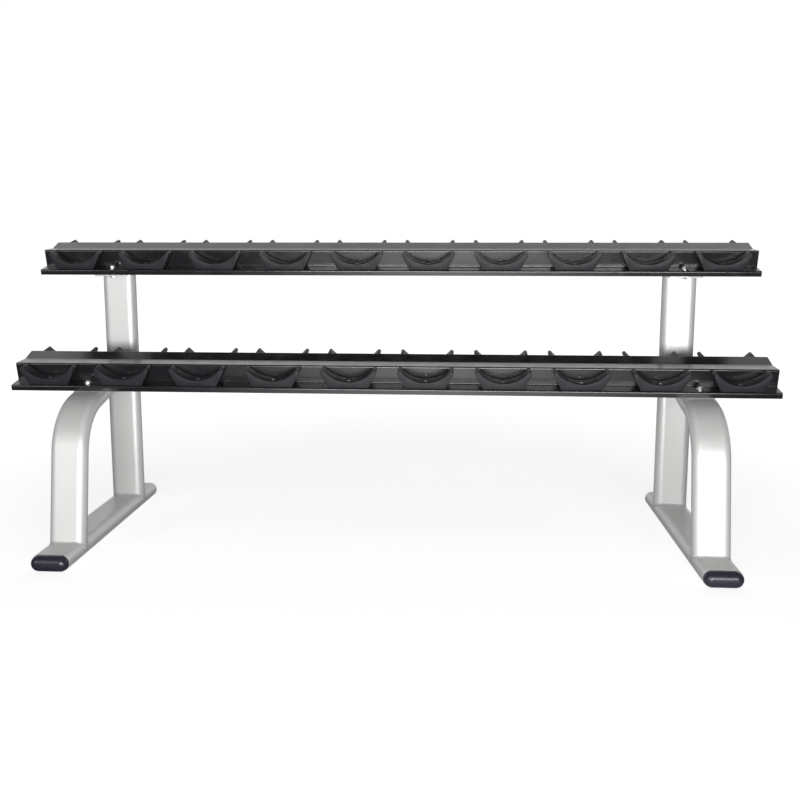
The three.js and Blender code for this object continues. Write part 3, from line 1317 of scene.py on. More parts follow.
@dataclass(frozen=True)
class OvalTube:
    """Flat-oval tube.

    Attributes:
        width: The long way across.
        depth: The short way across.
        wall: Thickness of the wall.
        arc_steps: Faces round each half-circle.
        hem: Width of the narrow strips that keep the flats' shading flat.
    """

    width: float = 0.110
    depth: float = 0.048
    wall: float = 0.003
    arc_steps: int = 18
    hem: float = 0.0012

    @property
    def half_flat(self) -> float:
        """Half of the flat's width."""
        return (self.width - self.depth) / 2

    def skin(self, x: float) -> float:
        """Returns how far the broad skin is from the tube's middle plane at an x."""
        over = max(0.0, abs(x) - self.half_flat)
        return math.sqrt(max(0.0, (self.depth / 2) ** 2 - over**2))

    def outline(self, inset: float = 0.0) -> Outline:
        """Draws the oval.

        Args:
            inset: How far inside the outer skin.

        Returns:
            The points, as x and n.
        """
        radius = self.depth / 2 - inset
        points = []
        for sign, start in ((1, -math.pi / 2), (-1, math.pi / 2)):
            centre = sign * self.half_flat
            for i in range(self.arc_steps + 1):
                angle = start + math.pi * i / self.arc_steps
                points.append((centre + radius * math.cos(angle), radius * math.sin(angle)))
            end_n = points[-1][1]
            span = self.half_flat - self.hem
            points.extend((sign * span * share, end_n) for share in (1.0, 0.5, 0.0, -0.5, -1.0))
        return points


@dataclass(frozen=True)
class EndCap:
    """A push-in end cap for a runner.

    Attributes:
        dome: How far it stands out.
        edge: How far its rounding reaches inwards.
        plug: How deep it reaches into the runner.
        inset: How much smaller than the tube it is, all round.
        steps: Faces across its rounding.
        break_edge: Size of its small broken edges.
        lead_in: How far the plug narrows at its end.
        fullness: Shape of the dome: 1 for an ellipse, less for a fuller one.
    """

    dome: float
    edge: float
    plug: float = 0.025
    inset: float = 0.0005
    steps: int = 12
    break_edge: float = 0.0004
    lead_in: float = 0.001
    fullness: float = 0.85

    def stations(self, seat: float, tube: OvalTube) -> Outline:
        """Draws the cap from the plug's end to its crown.

        Args:
            seat: Where it sits on the tube's end.
            tube: The tube that it closes.

        Returns:
            Each station's distance along the tube and its inset from the tube's skin.
        """
        bore = tube.wall + self.inset
        taper = (seat - self.plug, bore + self.lead_in)
        result = [taper, (seat - self.plug + 2 * self.lead_in, bore), (seat, bore),
                  (seat, self.inset + self.break_edge), (seat + self.break_edge, self.inset)]
        reach = self.edge - self.inset
        for i in range(1, self.steps + 1):
            angle = math.pi / 2 * i / self.steps
            rise = (self.dome - 2 * self.break_edge) * math.sin(angle) ** self.fullness
            result.append((seat + self.break_edge + rise, self.inset + reach * (1 - math.cos(angle))))
        return result


@dataclass
class SideFrame:
    """One welded side frame: runner, front leg, rear upright, end caps and weld beads.

    Attributes:
        side: Which side frame.
        layout: The shared dimensions.
        finishes: The rack's finishes.
        tube: The tube's section.
        corner_y: Where the leg's leaning line and its upper run would meet without the bend.
        bend_radius: Radius of the bend.
        lean: How far the leg leans back, in radians.
        bend_steps: Faces along the bend.
        upright_y: Y of the upright's centre line.
        cut_edge: Size of the runner's broken edges.
        front_cap: The domed cap at the front of the runner.
        rear_cap: The flush cap at its rear.
    """

    side: Side
    layout: Layout
    finishes: Finishes
    tube: OvalTube = field(default_factory=OvalTube)
    corner_y: float = -0.183
    bend_radius: float = 0.154
    lean: float = math.radians(8.5)
    bend_steps: int = 28
    upright_y: float = 0.253
    cut_edge: float = 0.0004
    front_cap: EndCap = field(default_factory=lambda: EndCap(dome=0.024, edge=0.0215))
    rear_cap: EndCap = field(default_factory=lambda: EndCap(dome=0.006, edge=0.020))

    def __post_init__(self) -> None:
        """Works out the lengths that follow from the sizes."""
        self.x = self.layout.frame_at(self.side)
        self.half_depth = (CAD_BOX[1].y - CAD_BOX[0].y) / 2
        self.runner_z = self.tube.depth / 2
        self.run_heading = math.pi / 2 - self.layout.tilt
        reach = self.bend_radius * math.tan((self.run_heading - self.lean) / 2)
        corner = (self.corner_y, self.layout.under_plate(Tier.LOWER, self.corner_y, self.tube.depth / 2))
        rise, back = math.cos(self.lean), math.sin(self.lean)
        self.bend_centre = (corner[0] - reach * back + self.bend_radius * rise,
                            corner[1] - reach * rise - self.bend_radius * back)

    def name(self, part: str) -> str:
        """Returns a part's name on this side."""
        return f"{self.side.value}_{part}"

    def seat(self, cap: EndCap) -> float:
        """Returns how far from the rack's middle a cap sits."""
        return self.half_depth - cap.dome

    def runner_top(self, x: float) -> float:
        """Returns the height of the runner's skin at an x from its middle."""
        return self.runner_z + self.tube.skin(x) + self.layout.gap

    def runner(self) -> bpy.types.Mesh:
        """Builds the runner, with its cut ends' edges broken.

        Returns:
            The mesh.
        """
        ends = (self.layout.gap - self.seat(self.front_cap), self.seat(self.rear_cap) - self.layout.gap)
        skins = []
        for inset in (0.0, self.tube.wall):
            skins.append([[Vector((self.x + x, y, self.runner_z + n)) for x, n in self.tube.outline(inset)]
                          for y in ends])
        return bevelled(smooth(pipe(*skins)), self.cut_edge, EDGE_SEGMENTS, CUT_EDGE_DEG)

    def leg_ring(self, angle: float, inset: float) -> Ring:
        """Returns the leg's section at an angle round its bend.

        Args:
            angle: From the bend's centre, rising from the front.
            inset: How far inside the outer skin.

        Returns:
            The ring.
        """
        y, z = self.bend_centre
        ring = []
        for x, n in self.tube.outline(inset):
            reach = self.bend_radius + n
            ring.append(Vector((self.x + x, y - reach * math.cos(angle), z + reach * math.sin(angle))))
        return ring

    def leg_foot(self, inset: float) -> Ring:
        """Returns the leg's lower end, coped to the runner.

        Args:
            inset: How far inside the outer skin.

        Returns:
            The ring.
        """
        ring = []
        for point in self.leg_ring(self.lean, inset):
            drop = (point.z - self.runner_top(point.x - self.x)) / math.cos(self.lean)
            ring.append(point - drop * Vector((0.0, math.sin(self.lean), math.cos(self.lean))))
        return ring

    def leg_end(self, inset: float) -> Ring:
        """Returns the leg's rear end, coped to the upright.

        Args:
            inset: How far inside the outer skin.

        Returns:
            The ring.
        """
        ring = []
        for point in self.leg_ring(self.run_heading, inset):
            y = self.upright_y - self.tube.skin(point.x - self.x) - self.layout.gap
            along = (y - point.y) / math.cos(self.layout.tilt)
            ring.append(point + along * Vector((0.0, math.cos(self.layout.tilt), math.sin(self.layout.tilt))))
        return ring

    def front_leg(self) -> bpy.types.Mesh:
        """Builds the front leg with its bend.

        Returns:
            The mesh.
        """
        skins = []
        for inset in (0.0, self.tube.wall):
            rings = [self.leg_foot(inset)]
            for i in range(self.bend_steps + 1):
                angle = self.lean + (self.run_heading - self.lean) * i / self.bend_steps
                rings.append(self.leg_ring(angle, inset))
            rings.append(self.leg_end(inset))
            skins.append(rings)
        return smooth(pipe(*skins), TUBE_CREASE_DEG)

    def upright_end(self, inset: float, top: bool) -> Ring:
        """Returns one end of the upright.

        Args:
            inset: How far inside the outer skin.
            top: Whether it is the end under the upper tray's plate.

        Returns:
            The ring.
        """
        ring = []
        for x, n in self.tube.outline(inset):
            y = self.upright_y + n
            z = self.layout.under_plate(Tier.UPPER, y) if top else self.runner_top(x)
            ring.append(Vector((self.x + x, y, z)))
        return ring

    def rear_upright(self) -> bpy.types.Mesh:
        """Builds the straight rear upright.

        Returns:
            The mesh.
        """
        outer, inner = ([self.upright_end(inset, False), self.upright_end(inset, True)]
                        for inset in (0.0, self.tube.wall))
        return smooth(pipe(outer, inner), TUBE_CREASE_DEG)

    def end_cap(self, cap: EndCap, direction: int) -> bpy.types.Mesh:
        """Builds a push-in end cap.

        Args:
            cap: The cap's sizes.
            direction: -1 for the front end of the runner, 1 for the rear.

        Returns:
            The mesh.
        """
        rings = []
        for y, inset in cap.stations(self.seat(cap), self.tube):
            rings.append([Vector((self.x + x, direction * y, self.runner_z + n))
                          for x, n in self.tube.outline(inset)])
        return smooth(mesh_from(*loft(rings, True, True)), TUBE_CREASE_DEG)

    def weld_lines(self) -> list[Ring]:
        """Returns the joints that are welded: both feet, and the leg's end on the upright."""
        return [self.leg_foot(0.0), self.upright_end(0.0, False), self.leg_end(0.0)]

    def build(self) -> None:
        """Builds and dresses every piece of the frame."""
        silver = self.finishes.silver
        for part, mesh in (("base_runner", self.runner()), ("front_leg", self.front_leg()),
                           ("rear_upright", self.rear_upright())):
            finish_piece(new_object(f"{self.name(part)}_tube", mesh), silver, [self.name(part)])
        for part, cap, direction in (("front_end_cap", self.front_cap, -1),
                                     ("rear_end_cap", self.rear_cap, 1)):
            made = new_object(f"{self.name(part)}_moulding", self.end_cap(cap, direction))
            finish_piece(made, self.finishes.cap, [self.name(part)])
        beads = WeldBead().lay(self.weld_lines(), self.finishes.weld)
        finish_piece(new_object(self.name("weld_beads"), beads), self.finishes.weld)


@dataclass(frozen=True)
class HexBolt:
    """A zinc-plated hexagon bolt with its washer and nut, standing on a tray's floor.

    Attributes:
        shank: Radius of the shank.
        head: Radius of the head to its corners.
        head_height: Height of the head.
        washer: Radius of the washer.
        washer_thick: Thickness of the washer.
        nut_height: Height of the nut.
        tail: How far the shank shows beyond the nut.
        sides: Faces round each piece.
        chamfer: Angle of the chamfer on the corners, in radians.
        chamfer_at: Where the chamfer starts, as a share of the flats' reach.
        dish: Rim and floor of the head's dished top, as shares of the flats' reach.
        dish_depth: How deep the dish is.
        tip_cut: Size of the chamfer on the shank's tip.
        washer_edge: Size of the washer's broken edges.
        washer_play: Clearance between washer and shank.
        nut_play: Clearance between nut and shank.
    """

    shank: float = 0.005
    head: float = 0.0095
    head_height: float = 0.0065
    washer: float = 0.012
    washer_thick: float = 0.002
    nut_height: float = 0.008
    tail: float = 0.002
    sides: int = 48
    chamfer: float = math.radians(30.0)
    chamfer_at: float = 0.97
    dish: Span = (0.62, 0.55)
    dish_depth: float = 0.0004
    tip_cut: float = 0.001
    washer_edge: float = 0.0003
    washer_play: float = 0.0003
    nut_play: float = 0.0002

    @property
    def flat(self) -> float:
        """Half of the width across the flats."""
        return self.head * math.cos(math.pi / 6)

    @property
    def shoulder(self) -> float:
        """Radius where the chamfer starts."""
        return self.flat * self.chamfer_at

    def hex_ring(self, z: float, limit: float) -> Ring:
        """Returns a hexagon's ring, held inside a radius and lowered along the chamfer.

        Args:
            z: Height of the face that the chamfer starts from.
            limit: Radius where the chamfer starts; 0 for a plain hexagon.

        Returns:
            The ring.
        """
        ring = []
        for i in range(self.sides):
            angle = math.tau * i / self.sides
            folded = (angle + math.pi / 6) % (math.pi / 3) - math.pi / 6
            reach = self.flat / math.cos(folded)
            low = max(0.0, reach - limit) * math.tan(self.chamfer) if limit else 0.0
            ring.append(Vector((reach * math.cos(angle), reach * math.sin(angle), z - low)))
        return ring

    def round_ring(self, radius: float, z: float) -> Ring:
        """Returns a circle."""
        return [Vector((radius * math.cos(math.tau * i / self.sides),
                        radius * math.sin(math.tau * i / self.sides), z)) for i in range(self.sides)]

    def bolt(self, foot: float, tip: float) -> bpy.types.Mesh:
        """Builds the head and shank.

        Args:
            foot: Height of the head's underside.
            tip: Height of the shank's end.

        Returns:
            The mesh.
        """
        top = foot + self.head_height
        rim, floor = (self.flat * share for share in self.dish)
        rings = [self.round_ring(self.shank - self.tip_cut, tip),
                 self.round_ring(self.shank, tip + self.tip_cut), self.round_ring(self.shank, foot),
                 self.hex_ring(foot, 0.0), self.hex_ring(top, self.shoulder),
                 self.round_ring(self.shoulder, top), self.round_ring(rim, top),
                 self.round_ring(floor, top - self.dish_depth)]
        return smooth(mesh_from(*loft(rings, True, True)), BOLT_CREASE_DEG)

    def ring_piece(self, rings: Sequence[Ring]) -> bpy.types.Mesh:
        """Closes rings that run round a hole into a solid."""
        return smooth(mesh_from(*loft([*rings, rings[0]], False, False)), BOLT_CREASE_DEG)

    def washer_ring(self, foot: float) -> bpy.types.Mesh:
        """Builds the washer.

        Args:
            foot: Height of its underside.

        Returns:
            The mesh.
        """
        edge = self.washer_edge
        top = foot + self.washer_thick
        bore = self.shank + self.washer_play
        return self.ring_piece([
            self.round_ring(bore, foot), self.round_ring(self.washer - edge, foot),
            self.round_ring(self.washer, foot + edge), self.round_ring(self.washer, top - edge),
            self.round_ring(self.washer - edge, top), self.round_ring(bore, top)])

    def nut(self, top: float) -> bpy.types.Mesh:
        """Builds the nut, with its chamfer below.

        Args:
            top: Height of its upper face.

        Returns:
            The mesh.
        """
        foot = top - self.nut_height
        low = [Vector((p.x, p.y, foot + top - p.z)) for p in self.hex_ring(top, self.shoulder)]
        bore = self.shank + self.nut_play
        return self.ring_piece([
            self.round_ring(bore, top), self.hex_ring(top, 0.0), low,
            self.round_ring(self.shoulder, foot), self.round_ring(bore, foot)])


@dataclass(frozen=True)
class MountingPlate:
    """A plate between a side frame and a tray.

    Attributes:
        layout: The shared dimensions.
        inset: How far it stays inside the tray's edges.
        width: Width along x.
        corner: Radius of its corners.
        corner_steps: Faces round each corner.
        hole: Radius of the bolt holes.
        edge: Size of its broken edges.
    """

    layout: Layout
    inset: float
    width: float = 0.108
    corner: float = 0.006
    corner_steps: int = 6
    hole: float = 0.0055
    edge: float = 0.0006

    def outline(self) -> Outline:
        """Draws the plate with its rounded corners.

        Returns:
            The points, as x and u.
        """
        half = self.width / 2 - self.corner
        low = self.inset + self.corner
        high = self.layout.tray_depth - low
        points: Outline = []
        for x, u, start in ((half, low, -90), (half, high, 0), (-half, high, 90), (-half, low, 180)):
            for i in range(self.corner_steps + 1):
                angle = math.radians(start + 90 * i / self.corner_steps)
                points.append((x + self.corner * math.cos(angle), u + self.corner * math.sin(angle)))
        return points

    def solid(self) -> bpy.types.Mesh:
        """Builds the plate with its drilled holes, in the tray's axes.

        Returns:
            The mesh.
        """
        thick = self.layout.plate_thick
        top = -self.layout.gap
        rings = [[Vector((x, u, v)) for x, u in self.outline()] for v in (top - thick, top)]
        plate = mesh_from(*loft(rings, True, True))
        for u in self.layout.bolt_us():
            cutter = drill(self.hole, -2 * thick, thick)
            plate = cut(plate, moved(cutter, Matrix.Translation((0.0, u, 0.0))))
        plate.shade_smooth()
        return bevelled(plate, self.edge, EDGE_SEGMENTS, CUT_EDGE_DEG)


@dataclass
class SaddleShape:
    """The outline of a saddle, and the solid that is moulded from it.

    Attributes:
        foot: Width of the foot.
        height: Height of the horns.
        depth: Front to back.
        base: Height of the cradle's lowest point.
        horn_spacing: From one horn's centre to the other's.
        horn: Radius of the horns.
        cradle_steps: Faces round the cradle.
        horn_steps: Faces round each horn.
        edge: Radius of the moulded edges.
        edge_steps: Faces across each moulded edge.
        edge_deg: The angle from which an edge is moulded round.
        screw_hole: Radius of the countersunk screw recess.
        screw_depth: Depth of the recess.
    """

    foot: float = 0.122
    height: float = 0.0549
    depth: float = 0.0405
    base: float = 0.018
    horn_spacing: float = 0.157
    horn: float = 0.0065
    cradle_steps: int = 40
    horn_steps: int = 14
    edge: float = 0.0016
    edge_steps: int = 3
    edge_deg: float = 40.0
    screw_hole: float = 0.0062
    screw_depth: float = 0.0022

    @property
    def screw_floor(self) -> float:
        """Height of the screw recess's floor."""
        return self.base - self.screw_depth

    def arc(self, x: float, y: float, radius: float, start: float, end: float, steps: int) -> Outline:
        """Returns points along an arc."""
        return [(x + radius * math.cos(start + (end - start) * i / steps),
                 y + radius * math.sin(start + (end - start) * i / steps)) for i in range(steps + 1)]

    def outline(self) -> Outline:
        """Draws the saddle from the front: foot, slanting sides, round horns and the cradle.

        Returns:
            The points, as x and v.
        """
        horn_x = self.horn_spacing / 2
        horn_y = self.height - self.horn
        rise = horn_y - self.base
        cradle = (horn_x**2 + rise**2 - self.horn**2) / (2 * (rise + self.horn))
        cradle_y = self.base + cradle
        touch = math.atan2(cradle_y - horn_y, horn_x)
        foot_x = self.foot / 2
        reach = math.hypot(horn_x - foot_x, horn_y)
        side = math.atan2(horn_y, horn_x - foot_x) - math.asin(self.horn / reach) - math.pi / 2
        right = self.arc(horn_x, horn_y, self.horn, side, math.pi - touch, self.horn_steps)
        hollow = self.arc(0.0, cradle_y, cradle, -touch, touch - math.pi, self.cradle_steps)[1:-1]
        left = self.arc(-horn_x, horn_y, self.horn, touch, math.pi - side, self.horn_steps)
        return [(-foot_x, 0.0), (foot_x, 0.0), *right, *hollow, *left]

    def solid(self) -> bpy.types.Mesh:
        """Builds the saddle on v = 0 with its front face at u = 0.

        Returns:
            The mesh.
        """
        rings = [[Vector((x, u, v)) for x, v in self.outline()] for u in (0.0, self.depth)]
        body = mesh_from(*loft(rings, True, True))
        recess = drill(self.screw_hole, self.screw_floor, self.height)
        body = cut(body, moved(recess, Matrix.Translation((0.0, self.depth / 2, 0.0))))
        body.shade_smooth()
        return bevelled(body, self.edge, self.edge_steps, self.edge_deg)


@dataclass
class TierAssembly:
    """One tray with its saddles, screws, bolts and mounting plates.

    Attributes:
        tier: Which tray.
        layout: The shared dimensions.
        finishes: The rack's finishes.
        sheet: Thickness of the tray's steel.
        inner_radius: Inside radius of its folds.
        fold_steps: Faces round each fold.
        hem: Width of the narrow strips beside the folds.
        channel_front: U of the raised centre's front wall.
        channel_back: U of its rear wall.
        wall_top: V of the front wall's top.
        crease: U and v of the shallow crease in the raised centre.
        ridge: V of the rear wall's top.
        saddle_inset: Distance of the saddles from the tray's edges.
        plate_insets: How far each tier's plates stay inside its tray's edges.
        cut_edge: Size of the sheet's broken edges.
        cut_edge_deg: The angle from which an edge of the sheet is broken.
        hole_play: Clearance between the tray and its bolts.
        screw_crease_deg: The angle from which an edge of a screw is sharp.
        saddle: The saddle's shape.
        screw: The saddle screws.
        bolt: The tray bolts.
    """

    tier: Tier
    layout: Layout
    finishes: Finishes
    sheet: float = 0.003
    inner_radius: float = 0.0016
    fold_steps: int = 6
    hem: float = 0.0006
    channel_front: float = 0.050
    channel_back: float = 0.166
    wall_top: float = 0.073
    crease: tuple[float, float] = (0.113, 0.065)
    ridge: float = 0.075
    saddle_inset: float = 0.005
    plate_insets: dict[Tier, float] = field(default_factory=lambda: {Tier.LOWER: 0.014, Tier.UPPER: 0.001})
    cut_edge: float = 0.0004
    cut_edge_deg: float = 60.0
    hole_play: float = 0.0005
    screw_crease_deg: float = 35.0
    saddle: SaddleShape = field(default_factory=SaddleShape)
    screw: PanHeadScrew = field(default_factory=PanHeadScrew)
    bolt: HexBolt = field(default_factory=HexBolt)

    def __post_init__(self) -> None:
        """Works out where the tray is."""
        self.frame = self.layout.on_tray(self.tier)

    def folds(self) -> list[Vector]:
        """Draws the tray's upper surface, fold by fold, from lip to lip.

        Returns:
            The corners, as u and v.
        """
        floor, depth = self.layout.floor_v, self.layout.tray_depth
        corners = [(0.0, 0.0), (0.0, floor), (self.channel_front, floor), (self.channel_front, self.wall_top),
                   self.crease, (self.channel_back, self.ridge), (self.channel_back, floor),
                   (depth, floor), (depth, 0.0)]
        return [Vector(corner) for corner in corners]

    def offset(self, points: Sequence[Vector], distance: float) -> list[Vector]:
        """Moves a folded line sideways, to its right.

        Args:
            points: The line's corners.
            distance: How far it moves.

        Returns:
            The moved line.
        """
        shifted = []
        for i, point in enumerate(points):
            into = point - points[i - 1] if i else points[1] - point
            out = points[i + 1] - point if i < len(points) - 1 else into
            into, out = into.normalized(), out.normalized()
            right = Vector((into.y + out.y, -into.x - out.x))
            shifted.append(point + right * (distance / (1 + into.dot(out))))
        return shifted

    def rounded(self, points: Sequence[Vector], left_radius: float, right_radius: float) -> list[Vector]:
        """Rounds a folded line's corners, with narrow strips beside each one.

        Args:
            points: The line's corners.
            left_radius: Radius of the corners that turn left.
            right_radius: Radius of the corners that turn right.

        Returns:
            The rounded line.
        """
        result = [points[0]]
        for before, corner, after in zip(points, points[1:], points[2:]):
            into, out = (corner - before).normalized(), (after - corner).normalized()
            turn = into.x * out.y - into.y * out.x
            radius = left_radius if turn > 0 else right_radius
            half = math.acos(max(-1.0, min(1.0, into.dot(out)))) / 2
            reach = radius * math.tan(half)
            side = Vector((-into.y, into.x)) * (1 if turn > 0 else -1)
            centre = corner - into * reach + side * radius
            result.append(corner - into * (reach + self.hem))
            start = corner - into * reach - centre
            for i in range(self.fold_steps + 1):
                angle = 2 * half * i / self.fold_steps * (1 if turn > 0 else -1)
                result.append(centre + Matrix.Rotation(angle, 2) @ start)
            result.append(corner + out * (reach + self.hem))
        result.append(points[-1])
        return result

    def tray(self) -> bpy.types.Mesh:
        """Builds the folded sheet, drilled for its bolts.

        Returns:
            The mesh.
        """
        outer = self.inner_radius + self.sheet
        upper = self.rounded(self.folds(), self.inner_radius, outer)
        lower = self.rounded(self.offset(self.folds(), self.sheet), self.inner_radius, outer)
        outline = [*upper, *reversed(lower)]
        half = self.layout.tray_length / 2
        rings = [[Vector((x, p.x, p.y)) for p in outline] for x in (-half, half)]
        sheet = mesh_from(*loft(rings, True, True))
        for side in Side:
            for u in self.layout.bolt_us():
                cutter = drill(self.bolt.shank + self.hole_play, 0.0, 2 * self.layout.floor_v)
                sheet = cut(sheet, moved(cutter, Matrix.Translation((self.layout.frame_at(side), u, 0.0))))
        smooth(sheet)
        return moved(bevelled(sheet, self.cut_edge, EDGE_SEGMENTS, self.cut_edge_deg), self.frame)

    def saddle_u(self, row: Row) -> float:
        """Finds a row of saddles.

        Args:
            row: The row of saddles.

        Returns:
            The u of its front faces.
        """
        if row is Row.FRONT:
            return self.saddle_inset
        return self.layout.tray_depth - self.saddle_inset - self.saddle.depth

    def build_saddles(self) -> None:
        """Builds the saddles, each its own piece, and their screws."""
        pattern = self.saddle.solid()
        foot = self.layout.floor_v + self.layout.gap
        heads: Ring = []
        for row in Row:
            u = self.saddle_u(row)
            for index in range(self.layout.places):
                x = self.layout.place_x(index)
                name = f"{self.tier.value}_{row.value}_saddle_{index + 1:02d}"
                place = self.frame @ Matrix.Translation((x, u, foot))
                made = new_object(f"{name}_moulding", moved(pattern.copy(), place))
                finish_piece(made, self.finishes.saddle, [name])
                seat = self.saddle.screw_floor + self.screw.height / 2
                heads.append(place @ Vector((0.0, self.saddle.depth / 2, seat)))
        screws = self.screw.place(heads, self.layout.tilt, self.finishes.zinc)
        smooth(screws, self.screw_crease_deg)
        finish_piece(new_object(f"{self.tier.value}_saddle_screws", screws), self.finishes.zinc)

    def build_bolts(self, side: Side) -> None:
        """Builds the front and rear bolts over one side frame.

        Args:
            side: Which side frame.
        """
        x = self.layout.frame_at(side)
        washer_foot = self.layout.floor_v + self.layout.gap
        plate_foot = -self.layout.plate_thick - 2 * self.layout.gap
        deep = self.tier is Tier.UPPER
        tip = plate_foot - self.bolt.nut_height - self.bolt.tail if deep else plate_foot + self.layout.gap * 2
        for row, u in zip(Row, self.layout.bolt_us()):
            front = row is Row.FRONT
            place = self.frame @ Matrix.Translation((x, u, 0.0))
            stem = f"{self.tier.value}_{side.value}_{row.value}"
            pieces = {f"{stem}_hex_bolt": self.bolt.bolt(washer_foot + self.bolt.washer_thick, tip),
                      f"{stem}_washer": self.bolt.washer_ring(washer_foot)}
            if deep and front:
                pieces[f"{stem}_nut"] = self.bolt.nut(plate_foot)
            for name, mesh in pieces.items():
                made = new_object(name, moved(mesh, place))
                node = [f"{self.tier.value}_{side.value}_tray_bolt"] if front else []
                finish_piece(made, self.finishes.zinc, node)

    def build_plate(self, side: Side) -> None:
        """Builds the mounting plate over one side frame.

        Args:
            side: Which side frame.
        """
        plate = MountingPlate(self.layout, self.plate_insets[self.tier])
        place = self.frame @ Matrix.Translation((self.layout.frame_at(side), 0.0, 0.0))
        name = f"{self.tier.value}_{side.value}_mounting_plate"
        made = new_object(f"{name}_steel", moved(plate.solid(), place))
        finish_piece(made, self.finishes.plate, [name])

    def build(self) -> None:
        """Builds and dresses everything on this tier."""
        made = new_object(f"{self.tier.value}_tray_sheet", self.tray())
        finish_piece(made, self.finishes.tray, [f"{self.tier.value}_tray"])
        self.build_saddles()
        for side in Side:
            self.build_plate(side)
            self.build_bolts(side)


# ---------------------------------------------------------------------------
# Studio
# ---------------------------------------------------------------------------


@dataclass(frozen=True)
class SoftBox:
    """A rectangular studio light.

    Attributes:
        name: The light's name.
        place: Where it stands.
        aim: What it points at.
        size: Width and height.
        power: Watts.
    """

    name: str
    place: tuple[float, float, float]
    aim: tuple[float, float, float]
    size: tuple[float, float]
    power: float

    def build(self) -> bpy.types.Object:
        """Adds the light.

        Returns:
            The light.
        """
        data = bpy.data.lights.new(self.name, "AREA")
        data.shape = "RECTANGLE"
        data.size, data.size_y = self.size
        data.energy = self.power
        lamp = bpy.data.objects.new(self.name, data)
        lamp.location = self.place
        lamp.rotation_euler = (Vector(self.aim) - Vector(self.place)).to_track_quat("-Z", "Y").to_euler()
        bpy.context.scene.collection.objects.link(lamp)
        return lamp


@dataclass(frozen=True)
class Surroundings:
    """What stands round the rack: a white backdrop behind it, dim sides, front and ceiling.

    Attributes:
        backdrop: Brightness behind the rack, up to the backdrop's top.
        backdrop_top: Where the backdrop gives way to the ceiling, as the sine of the elevation.
        ceiling: Brightness overhead.
        front: Brightness of the user's side.
        sides: Brightness to the left and right.
        seen: Brightness of the plain background itself.
        soft_share: How much of it lights the rack's matt side, beside what it mirrors.
        behind: Range of the direction's y where the backdrop begins.
        before: The same for the user's side, towards -y.
        top_blur: Half of the band where the backdrop fades into the ceiling.
    """

    backdrop: float = 1.0
    backdrop_top: float = 0.77
    ceiling: float = 0.09
    front: float = 0.24
    sides: float = 0.07
    seen: float = 1.0
    soft_share: float = 0.36
    behind: Span = (0.25, 0.55)
    before: Span = (0.45, 0.8)
    top_blur: float = 0.03

    def build(self) -> None:
        """Builds the world and makes it the scene's."""
        world = bpy.data.worlds.new("studio_world")
        world.use_nodes = True
        graph = ShaderGraph(world.node_tree)
        toward = graph.split(graph.add("ShaderNodeTexCoord").outputs["Generated"])
        behind = graph.ramp(toward["Y"], *self.behind, 0.0, self.backdrop - self.sides)
        opposite = graph.math("MULTIPLY", toward["Y"], -1.0)
        before = graph.ramp(opposite, *self.before, 0.0, self.front - self.sides)
        around = graph.math("ADD", graph.math("ADD", behind, before), self.sides)
        edge = (self.backdrop_top - self.top_blur, self.backdrop_top + self.top_blur)
        high = graph.ramp(toward["Z"], *edge, 0.0, self.ceiling)
        low = graph.ramp(toward["Z"], *edge, 1.0, 0.0)
        lit = graph.math("ADD", graph.math("MULTIPLY", around, low), high)
        path = graph.add("ShaderNodeLightPath").outputs
        share = graph.choose(path["Is Diffuse Ray"], 1.0, self.soft_share)
        strength = graph.choose(path["Is Camera Ray"], graph.math("MULTIPLY", lit, share), self.seen)
        shader = graph.add("ShaderNodeBackground")
        shader.inputs["Color"].default_value = (1.0, 1.0, 1.0, 1.0)
        graph.link(strength, shader.inputs["Strength"])
        graph.link(shader.outputs[0], graph.add("ShaderNodeOutputWorld").inputs["Surface"])
        bpy.context.scene.world = world


